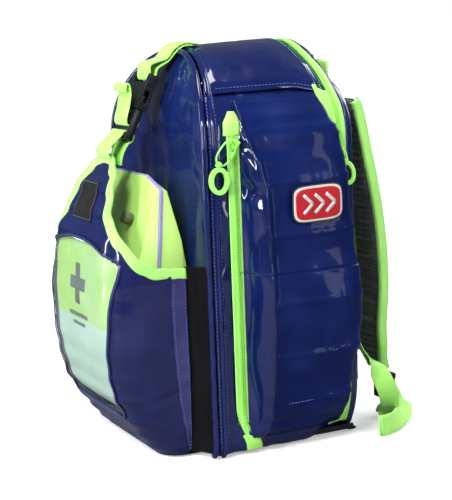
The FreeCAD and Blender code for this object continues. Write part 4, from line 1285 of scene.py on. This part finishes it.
def label():
    """A plain black woven label on the flap, sewn round its edge."""
    off_centre = Vector((-8, 0, 0))
    rows = grid_of(spaced(282, 328, 2.5), spaced(-0.50, 0.50, 0.05),
                   lambda z, s: on_pocket(s, z, 1.3, 0.8) + off_centre)
    sheet("flap_label_patch", rows, 1.4, LABEL, "case", "flap_label", "black_label")
    corners = [(-0.46, 284), (0.46, 284), (0.46, 326), (-0.46, 326), (-0.46, 284)]
    line = []
    for (a, b), (c, d) in zip(corners, corners[1:]):
        for s, z in zip(steps(a, c, 12)[:-1], steps(b, d, 12)[:-1]):
            line.append(on_pocket(s, z, 1.5, 0.8) + off_centre)
    stitching("flap_label_stitching", [(line, Vector((0, -1, 0.3)).normalized(), 1.8, 1.2, 0.4)], GREY_THREAD,
              "black_label")


def window_card():
    """A printed card behind the window: lime above, pale below, with a plain cross and two bars."""
    rows = grid_of(spaced(58, 256, 4), spaced(-1.54, 1.54, 0.07), lambda z, s: pocket_place(s, z, -5.0)[0])
    sheet("window_card", rows, 0.8, CARD, "case", (), "lime_case")
    marks = Build()
    for middle, wide, tall in ((205, 50, 15), (205, 15, 50), (166, 62, 5), (155, 40, 4)):
        rows = grid_of(steps(middle - tall / 2, middle + tall / 2, 4), steps(-0.5, 0.5, 12),
                       lambda z, u: pocket_place(wide * u / 76 - 0.05, z, -4.5)[0])
        marks.shell(rows, 0.4)
    marks.make("window_card_marks", MARKS, "case", (), "dark_knob")


CARD_SPLIT_Z = 0.162


def card_material():
    """Lime above and a milky mint below, with smudges, as one printed sheet."""
    shader = Shader("printed_card", (0.27, 0.52, 0.085), 0.4)
    height = shader.node("SeparateXYZ", {"Vector": shader.object}).outputs["Z"]
    edge = shader.math("ADD", height, shader.math("MULTIPLY", shader.noise(30.0), 0.006))
    shader.tint(shader.spread(edge, CARD_SPLIT_Z, CARD_SPLIT_Z + 0.004, 1.0, 0.0), (0.33, 0.50, 0.40))
    shader.tint(shader.spread(shader.noise(14.0, 3.0), 0.45, 0.75, 0.0, 0.55), (0.32, 0.44, 0.36))
    shader.rough(shader.noise(40.0), 0.35, 0.5)
    shader.bump(shader.noise(60.0, 2.0), 0.4, 0.3)
    return shader.material


GREY_THREAD = moulded("grey_thread", (0.20, 0.20, 0.22), 0.6)
CARD = card_material()
MARKS = moulded("card_marks_ink", (0.020, 0.040, 0.035), 0.5)


# ===================================== device and front strap ======================================
def device():
    """The defibrillator: two bevelled half cases, the gasket between them and its latch knob."""
    for node, name, material, slot, bevel in (
            ("aed_case_front", "aed_case_front_shell", AED_LIME, "lime_case", 2.2),
            ("aed_case_back", "aed_case_back_shell", AED_LIME, "lime_case", 2.2),
            ("aed_gasket", "aed_gasket_ring", GASKET, "lilac_gasket", 0.9),
            ("aed_latch_knob", "aed_latch_knob_cap", KNOB, "dark_knob", 1.4)):
        from_node(node, name, material, "case", slot, bevel, 4)


BUCKLE_AT = (-126.0, 411.5)
BUCKLE_LEAN = math.radians(27)


def strap_points(*places):
    """(y, z) of points given as (v in front of the buckle's middle, u along the strap)."""
    return [(BUCKLE_AT[0] - v * math.cos(BUCKLE_LEAN) + u * math.sin(BUCKLE_LEAN),
             BUCKLE_AT[1] + v * math.sin(BUCKLE_LEAN) + u * math.cos(BUCKLE_LEAN)) for v, u in places]


def ribbon(name, points, x, width, thick, body, nodes, count, flutter=0.0):
    """Webbing along a line in the plane of one x."""
    line, ups = yz_line(points, x, count)
    if flutter:
        line = [p + u * (flutter * crinkle(p.y, p.z, 0, 17, x)) for p, u in zip(line, ups)]
    return bar(name, line, ups, flat_profile(width, thick), LIME_WEB, body, nodes, "lime_webbing")


def front_strap():
    """Buckle, the short webbing it hangs from, the loop at the flap's tip and the strap's tail."""
    from_node("buckle_socket", "buckle_socket_shell", BLACK, "case", "black_plastic", 1.3)
    from_node("buckle_tongue", "buckle_tongue_shell", BLACK, "buckle_tongue", "black_plastic", 1.1)
    upper = [(-40, 485.5), (-52, 487.5), (-64, 487.5), (-76, 481), (-86, 471)]
    upper += strap_points((6.6, 56), (5.4, 48), (3.2, 41.5), (0.3, 38.6), (-3.0, 41.5), (-3.6, 48))
    ribbon("upper_webbing_strap", upper, 0, 38, 2.2, "case", "upper_webbing", 70, 0.5)
    under = strap_points((-3.6, 48), (-3.2, 56)) + [(-84, 467), (-74, 477.5), (-63, 484.6), (-52, 485)]
    ribbon("upper_webbing_return", under, 0, 37, 2.0, "case", (), 40, 0.4)
    loop = [(-157, 336), (-161, 348), (-167.5, 357), (-168, 366), (-159, 375)]
    loop += strap_points((8.6, -37), (7.2, -31), (0, -29.6), (-6.4, -31), (-7.6, -38))
    loop += [(-143, 370), (-150, 358), (-153, 346)]
    obj = ribbon("lower_webbing_loop", loop, 0, 38, 2.0, None, "lower_webbing", 90, 0.5)
    tip_y, tip_z = strap_points((0, -38))[0]
    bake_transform(obj)
    tail = strap_points((-5.6, -14), (-6.0, -20), (0, -21.6), (6.6, -22.5), (10.5, -16), (13.0, -2),
                        (17.0, 12), (23.5, 22), (26.5, 20), (23.8, 12))
    ribbon("strap_tail_end", tail, 0, 38, 1.9, "buckle_tongue", "strap_tail", 80, 0.6)
    rows = [([Vector((x, y, z)) for x in range(-16, 17, 4)], Vector((0, -0.1, 0.95)), 2.6, 1.4, 0.6)
            for y, z in ((-43, 487.6), (-50, 488.7))]
    stitching("upper_webbing_stitching", rows, LIME_THREAD, "lime_webbing")


front_pocket()
for SIDE, NAME in SIDES:
    pocket_side(SIDE, NAME)
binding()
label()
window_card()
device()
front_strap()


# ================================= back panel, pads and harness ====================================
def back_panel():
    """The padded back: rounded at its edge, with the liner inside and the stiffening board between."""
    def skin_place(edge, share):
        x, z = edge[0] * math.sin(math.pi / 2 * share), edge[1]
        near = max(edge_distance(x, z) - 1, 0)
        relief = 0.9 * crinkle(x, 3, z, 26, 2.5) + 0.8 * max(crease(x, 3, z * 0.6, 40, 5), -0.5)
        return settled(x, 88.5 + 15.5 * (1 - math.exp(-near / 2.6)) + min(relief, 0) * ease(near / 15), z)

    def liner_place(edge, c):
        return settled(edge[0] * (2 * c / 30 - 1), 92.0 + 0.8 * crinkle(c * 9, 0, edge[1], 30), edge[1])

    def board_place(edge, share):
        return settled(edge[0] * share, 95.5, edge[1])

    skin = grid_of(arch_half(5.0, 1.0, 4.5), steps(-1, 1, 54), skin_place)
    sheet("back_skin_padded", skin, 1.6, NAVY, "back", "back_skin", "navy_tarpaulin", flip=True)
    liner = grid_of(arch_half(8.0, 4.0, 7.0), range(31), liner_place)
    sheet("back_liner_cloth", liner, 1.0, LINER, "back", "back_liner", "liner_cloth")
    board = grid_of(arch_half(14.0, 9.0, 7.0), steps(-1, 1, 30), board_place)
    sheet("frame_board_sheet", board, 2.5, BOARD, "back", "frame_board", "grey_board")
    ridge = arch_round(14.0, 1.2, 3.0)
    bar("back_piping", on_body(ridge, 90.4, 0.0), outward(ridge), round_profile(2.3, 10), NAVY, "back", (),
        "navy_tarpaulin")


def pillow(build, outline, height, relief=None):
    """A stuffed pad on the back, over a polygon of (x, z): rings that crown towards its middle."""
    outline = even([Vector((x, z, 0)) for x, z in outline + outline[:1]], 97)[:-1]
    cx = sum(p.x for p in outline) / len(outline)
    cz = sum(p.y for p in outline) / len(outline)
    rows = [[Vector((cx + (p.x - cx) * 0.985, SKIN_BACK_Y, cz + (p.y - cz) * 0.985)) for p in outline]]
    for share in steps(0, 1, 9):
        reach = 1 - share * 0.97
        rise = (math.sin(math.pi / 2 * min(share * 1.9, 1)) ** 0.42) if share else 0.35
        row = []
        for p in outline:
            x, z = cx + (p.x - cx) * reach, cz + (p.y - cz) * reach
            extra = relief(x, z) * rise if relief else 0.0
            row.append(Vector((x, SKIN_BACK_Y + height * rise + extra, z)))
        rows.append(row)
    rows = [row + row[:1] for row in rows]
    first = build.grid(rows)
    wide = len(rows[0])
    build.faces.append(tuple(first + c for c in range(wide - 1))[::-1])
    last = first + (len(rows) - 1) * wide
    build.faces.append(tuple(last + c for c in range(wide - 1)))


PUFF_FRAMES = 20
PUFF_LIMIT = 3.5


def puff_up(obj):
    """Swells a foam pad with a short cloth simulation and keeps each point near where it was."""
    bake_modifiers(obj, [("REMESH", {"mode": "VOXEL", "voxel_size": 0.005, "use_smooth_shade": True})])
    before = [v.co.copy() for v in obj.data.vertices]
    fixed = obj.vertex_groups.new(name="sewn")
    low = min(v.y for v in before)
    fixed.add([i for i, v in enumerate(before) if v.y < low + 0.002], 1.0, "REPLACE")
    modifier = obj.modifiers.new("cloth", "CLOTH")
    settings = modifier.settings
    settings.use_pressure = True
    settings.uniform_pressure_force = 4.0
    settings.effector_weights.gravity = 0
    settings.vertex_group_mass = "sewn"
    settings.quality = 5
    settings.tension_stiffness = 30
    settings.compression_stiffness = 30
    settings.bending_stiffness = 2
    modifier.point_cache.frame_start = 1
    modifier.point_cache.frame_end = PUFF_FRAMES
    scene = bpy.context.scene
    for number in range(1, PUFF_FRAMES + 1):
        scene.frame_set(number)
    evaluated = obj.evaluated_get(bpy.context.evaluated_depsgraph_get())
    after = [v.co.copy() for v in evaluated.data.vertices]
    obj.modifiers.clear()
    for vertex, a, b in zip(obj.data.vertices, before, after):
        move = b - a
        if move.length > PUFF_LIMIT * MM:
            move = move.normalized() * PUFF_LIMIT * MM
        vertex.co = a + move
    scene.frame_set(1)
    bake_modifiers(obj, [("SMOOTH", {"factor": 0.5, "iterations": 3}),
                         ("SUBSURF", {"levels": 1, "render_levels": 1})])
    for polygon in obj.data.polygons:
        polygon.use_smooth = True


def press_channels(obj, heights, depth):
    """Presses sewn channels across a pad."""
    low = SKIN_BACK_Y * MM
    for vertex in obj.data.vertices:
        rise = vertex.co.y - low
        if rise > 0:
            near = min(abs(vertex.co.z / MM - z) for z in heights)
            vertex.co.y = low + rise * (1 - (depth / 12) * 2.2 * math.exp(-((near / 4.0) ** 2)))


def rounded(points, radius=12.0):
    """A polygon with its corners rounded off."""
    out = []
    for i, point in enumerate(points):
        here = Vector((*point, 0))
        before, after = Vector((*points[i - 1], 0)), Vector((*points[(i + 1) % len(points)], 0))
        a = here + (before - here).normalized() * radius
        b = here + (after - here).normalized() * radius
        for t in steps(0, 1, 6):
            p = a * (1 - t) ** 2 + here * 2 * t * (1 - t) + b * t ** 2
            out.append((p.x, p.y))
    return out


def mirrored(side, points, radius=12.0):
    """A rounded polygon on one side of the back, wound the same way on both."""
    outline = rounded([(side * x, z) for x, z in points], radius)
    return outline if side > 0 else outline[::-1]


def crossed_box(side, left, right, low, high, y, length, gap):
    """Stitch rows of a sewn box: a cross, its foot and its head."""
    rows = []
    for a, b in (((left, low), (right, high)), ((right, low), (left, high)), ((left, low), (right, low)),
                 ((left, high), (right, high))):
        line = [Vector((side * x, y, z)) for x, z in zip(steps(a[0], b[0], 8), steps(a[1], b[1], 8))]
        rows.append((line, Y_AXIS, length, gap, 0.5))
    return rows


def pads():
    """Air-mesh pads on the back with sewn channels and bound edges, and the yoke and anchors."""
    upper = [mirrored(side, ((16, 152), (103, 152), (110, 172), (110, 328), (95, 350), (16, 350)))
             for side, _ in SIDES]
    lumbar = [rounded([(-70, 46), (-58, 32), (58, 32), (70, 46), (70, 118), (58, 132), (-58, 132),
                       (-70, 118)])]
    for name, node, outlines, height, channels, depth, fill in (
            ("back_pads_foam", "back_pads", upper, 9.0, (200, 250, 300), 3.2, 0.7),
            ("lumbar_pad_foam", "lumbar_pad", lumbar, 13.5, (66, 98), 3.5, 0.8)):
        foam = Build()
        for outline in outlines:
            pillow(foam, outline, height)
        obj = foam.make(name, AIR_MESH)
        puff_up(obj)
        press_channels(obj, channels, depth)
        dress(obj, "back", node, "air_mesh")
    bind = Build()
    for outline in upper + lumbar:
        ring = even([Vector((x, SKIN_BACK_Y + 1.6, z)) for x, z in outline + outline[:1]], 150)[:-1]
        bind.sweep(ring, Y_AXIS, round_profile(2.4, 8, 0.9), closed=True)
    bind.make("back_pad_binding", LIME_TAPE, "back", (), "lime_tape")

    yoke = Build()
    outline = rounded([(-118, 374), (118, 374), (118, 400), (92, 427), (-92, 427), (-118, 400)], 10)
    pillow(yoke, outline, 4.2, lambda x, z: 0.5 * crinkle(x, 0, z, 18))
    yoke.make("harness_yoke_skin", NAVY, "back", "harness_yoke", "navy_tarpaulin")
    anchors, rows = Build(), []
    for side, _ in SIDES:
        wing = mirrored(side, ((78, 86), (104, 85), (130, 63), (130, 133), (104, 117), (78, 116)), 5)
        pillow(anchors, wing, 3.2, lambda x, z: 0.3 * crinkle(x, 0, z, 14))
        rows += crossed_box(side, 82, 100, 90, 112, SKIN_BACK_Y + 3.4, 2.4, 1.3)
    anchors.make("strap_anchor_wings", NAVY, "back", "strap_anchors", "navy_tarpaulin")
    rows += [([Vector((x, SKIN_BACK_Y + 4.3, z)) for x in range(-88, 89, 4)], Y_AXIS) for z in (378, 423)]
    stitching("harness_stitching", rows, THREAD, "navy_tarpaulin", "back")


STRAP_PATH = [(115.5, 412), (122, 398), (133, 345), (144, 290), (151, 235), (153, 175), (149, 125), (152, 92),
              (161, 66)]
STRAP_POINTS = 130
PAD_THICK = 5.6


def strap_half_width(k):
    """Half the strap pad's width at one of its points; it narrows at its lower end."""
    return STRAP_W / 2 * (1 - 0.42 * ease((k / (STRAP_POINTS - 1) - 0.88) / 0.12)) - 1.5


def strap_face(name, part, sign, line, ups, material, nodes, slot):
    """One padded face of a shoulder strap: the ribbed mesh towards the back, or the cover."""
    rows = []
    for k, (point, up) in enumerate(zip(line, ups)):
        share = k / (len(line) - 1)
        half = strap_half_width(k)
        face = up if up.y * sign < 0 else -up
        ends = ease(min(share, 1 - share) / 0.03)
        row = []
        for u in steps(-1, 1, 18):
            rib = 0.7 * math.sin(k * 1.45) if sign > 0 else 0.5 * crinkle(u * 25, 0, k * 4, 16)
            rise = PAD_THICK * (1 - abs(u) ** 5) * (0.4 + 0.6 * ends) + (rib if abs(u) < 0.9 else 0) * ends
            row.append(point + X_AXIS * (u * half) + face * (0.3 + max(rise, 0.2)))
        row.append(point + X_AXIS * half + face * 0.2)
        row += [point + X_AXIS * (half * (1 - 2 * (c + 1) / 10)) + face * 0.15 for c in range(9)]
        row.append(point - X_AXIS * half + face * 0.2)
        rows.append(row)
    build = Build()
    first = build.grid([r + r[:1] for r in rows], flip=sign < 0)
    wide = len(rows[0]) + 1
    caps = (tuple(first + c for c in range(wide - 1)),
            tuple(first + (len(rows) - 1) * wide + c for c in range(wide - 1)))
    build.faces += [caps[0][::-1], caps[1]] if sign > 0 else [caps[0], caps[1][::-1]]
    obj = build.make("strap_pad_%s_%s" % (part, name), material, "strap_" + name, nodes, slot)


def shoulder_strap(side, name):
    """A padded strap: ribbed mesh inside, navy outside, lime binding on both edges, and its hardware."""
    body = "strap_" + name
    line, ups = yz_line(STRAP_PATH, side * STRAP_X, STRAP_POINTS)
    strap_face(name, "mesh", 1, line, ups, STRAP_MESH, "strap_pad_" + name, "air_mesh")
    strap_face(name, "cover", -1, line, ups, NAVY, (), "navy_tarpaulin")
    bind, rows = Build(), []
    for edge in (1, -1):
        path = [p + X_AXIS * (edge * (strap_half_width(k) + 0.2)) for k, p in enumerate(line)]
        profile = [(-4.5, 5.9), (0.8, 5.9), (2.3, 4.0), (2.6, 0), (2.3, -4.0), (0.8, -5.9), (-4.5, -5.9),
                   (-4.5, -4.6), (0.6, -4.4), (0.6, 4.4), (-4.5, 4.6)]
        out = 1 if tangents(line)[0].cross(ups[0]).x * edge > 0 else -1
        profile = [(a * out, b) for a, b in profile]
        bind.sweep(path, ups, profile[::out])
        for face in (1, -1):
            rows.append(([p + u * (6.1 * face) - X_AXIS * (edge * 2.8) for p, u in zip(path, ups)],
                         [u * face for u in ups], 2.8, 1.6, 0.5))
    bind.make("strap_binding_" + name, LIME_TAPE, body, (), "lime_tape")
    stitching("strap_stitching_" + name, rows, LIME_THREAD, "lime_tape", body)
    from_node("ladder_lock_" + name, "ladder_lock_shell_" + name, BLACK, body, "black_plastic", 1.0)
    from_node("strap_keeper_" + name, "strap_keeper_bar_" + name, BLACK, body, "black_plastic", 1.0)
    tab = [(156, 76), (161.5, 66), (166, 55), (167.5, 44), (168.4, 41.5), (165, 43), (163, 52), (158, 64)]
    ribbon("strap_lock_tab_" + name, tab, side * STRAP_X, 25, 1.6, body, (), 50)
    lower_webbing(side, name)


WEB_FACE = Vector((0.88, -0.44, 0.17))      # where the loose webbing's flat side turns to


def turned_web(name, points, side, body, nodes, turn):
    """A ribbon of webbing through space; turn says how far it faces outward at each share of its length."""
    line = curve([(side * x, y, z) for x, y, z in points], 90)
    face = Vector((side * WEB_FACE.x, WEB_FACE.y, WEB_FACE.z))
    ups = []
    for k, way in enumerate(tangents(line)):
        amount = table(k / (len(line) - 1), turn)
        across = X_AXIS.lerp(way.cross(face).normalized() * side, amount)
        across = (across - way * across.dot(way)).normalized()
        ups.append(way.cross(across).normalized())
    return bar(name, line, ups, flat_profile(25, 1.7), LIME_WEB, body, nodes, "lime_webbing")


def lower_webbing(side, name):
    """The webbing from the bag to the ladder lock, and its loose tail with a folded, hemmed end."""
    body = "strap_" + name
    route = [(118, 108.8, 113), (121, 113, 106), (138, 124, 84), (146, 136, 54), (132, 150, 27),
             (104, 162, 9), (92, 169, 6), (90, 175, 16), (90, 175, 36)]
    obj = turned_web("lower_strap_webbing_" + name, route, side, None, "lower_strap_webbing_" + name,
                     ((0, 0), (0.12, 0.2), (0.35, 0.9), (0.6, 0.9), (0.8, 0.1), (1, 0)))
    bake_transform(obj)
    tail = [(90, 172.5, 54), (93, 179, 46), (108, 181, 30), (134, 168, 17), (156, 146, 14), (170, 124, 15),
            (176, 106, 17)]
    turned_web("strap_loose_tail_" + name, tail, side, body, (), ((0, 0), (0.2, 0.3), (0.5, 0.9), (1, 1.0)))
    hem = [(179.7, 106.6, 17), (176.2, 114.6, 16), (173.2, 121.6, 15.5)]
    turned_web("strap_tail_hem_" + name, hem, side, body, (), ((0, 1.0), (1, 1.0)))


def grab_handle():
    """Lime webbing loop on top of the back, in two halves whose sewn ends stay with the back panel."""
    path = [(72, 105.8), (60, 106.2), (49, 107.6), (39, 117.5), (27, 124.8), (12, 128.2), (0, 128.8)]
    rows = []
    for side, name in SIDES:
        line = curve([(side * x, y, 446.5) for x, y in path], 50)
        ups = [t.cross(Z_AXIS).normalized() for t in tangents(line)]
        obj = bar("grab_handle_" + name, line, ups, flat_profile(25, 2.2), LIME_WEB, None, "grab_handle",
                  "lime_webbing")
        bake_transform(obj)
        rows += crossed_box(side, 54, 70, 438, 455, 107.6, 2.2, 1.2)
    stitching("grab_handle_stitching", rows, LIME_THREAD, "lime_webbing", "back")


def organiser():
    """The sheet of pouches that hangs inside, behind the front panel."""
    def sheet_place(edge, c):
        return settled(edge[0] * (2 * c / 24 - 1), -86.5 + 0.8 * crinkle(c * 12, 1, edge[1], 34), edge[1])

    sheet("organiser_sheet", grid_of(arch_half(12.0, 11.0, 7.0), range(25), sheet_place), 0.9, LINER, "case",
          "inner_organiser", "liner_cloth", flip=True)
    pouches, edges = Build(), Build()
    for low, high in ((30, 150), (175, 285)):
        for left in (-117, -38, 41):
            def pouch_place(share, u):
                full = 0.35 + 0.65 * math.sin(math.pi * min(share + 0.22, 1))
                swell = 9.5 * math.sin(math.pi * u) ** 0.6 * full
                y = -85.4 + swell + 0.5 * crinkle(left + 76 * u, 2, share * 90, 20)
                return Vector((left + 77 * u, y, blend_values(low, high, share)))

            rows = grid_of(steps(0, 1, 14), steps(0, 1, 16), pouch_place)
            pouches.shell(rows, 0.9)
            edges.sweep(rows[-1], Z_AXIS, flat_profile(3.0, 5.0))
    pouches.make("organiser_pouches", LINER, "case", (), "liner_cloth")
    edges.make("organiser_binding", LIME_TAPE, "case", (), "lime_tape")


def zip_hardware():
    """The sliders and finger rings, with their moulded edges rounded."""
    # The drawn zip lies further forward than the CAD one, and its rings hang back, clear of the pockets.
    toward_teeth = Matrix.Translation((0, -9 * MM, 0))
    stem = Vector((0, 81, 352)) * MM
    hang_back = (Matrix.Translation(stem) @ Matrix.Rotation(math.radians(14), 4, "X")
                 @ Matrix.Translation(-stem) @ toward_teeth)
    for _, name in SIDES:
        from_node("side_slider_" + name, "side_slider_body_" + name, LIME_METAL, "side_slider_" + name,
                  "lime_coated_metal", 0.5)
        from_node("ring_pull_" + name, "finger_ring_" + name, LIME_RUBBER, "side_pull_" + name, "lime_rubber",
                  1.2, 4)
        for node, piece, material, slot, bevel, move in (
                ("main_slider_", "main_slider_body_", LIME_METAL, "lime_coated_metal", 0.5, toward_teeth),
                ("main_pull_", "main_finger_ring_", LIME_RUBBER, "lime_rubber", 0.9, hang_back)):
            obj = from_node(node + name, piece + name, material, None, slot, bevel)
            obj.data.transform(move)
            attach(obj, node + name)


back_panel()
pads()
for SIDE, NAME in SIDES:
    shoulder_strap(SIDE, NAME)
grab_handle()
organiser()
zip_hardware()
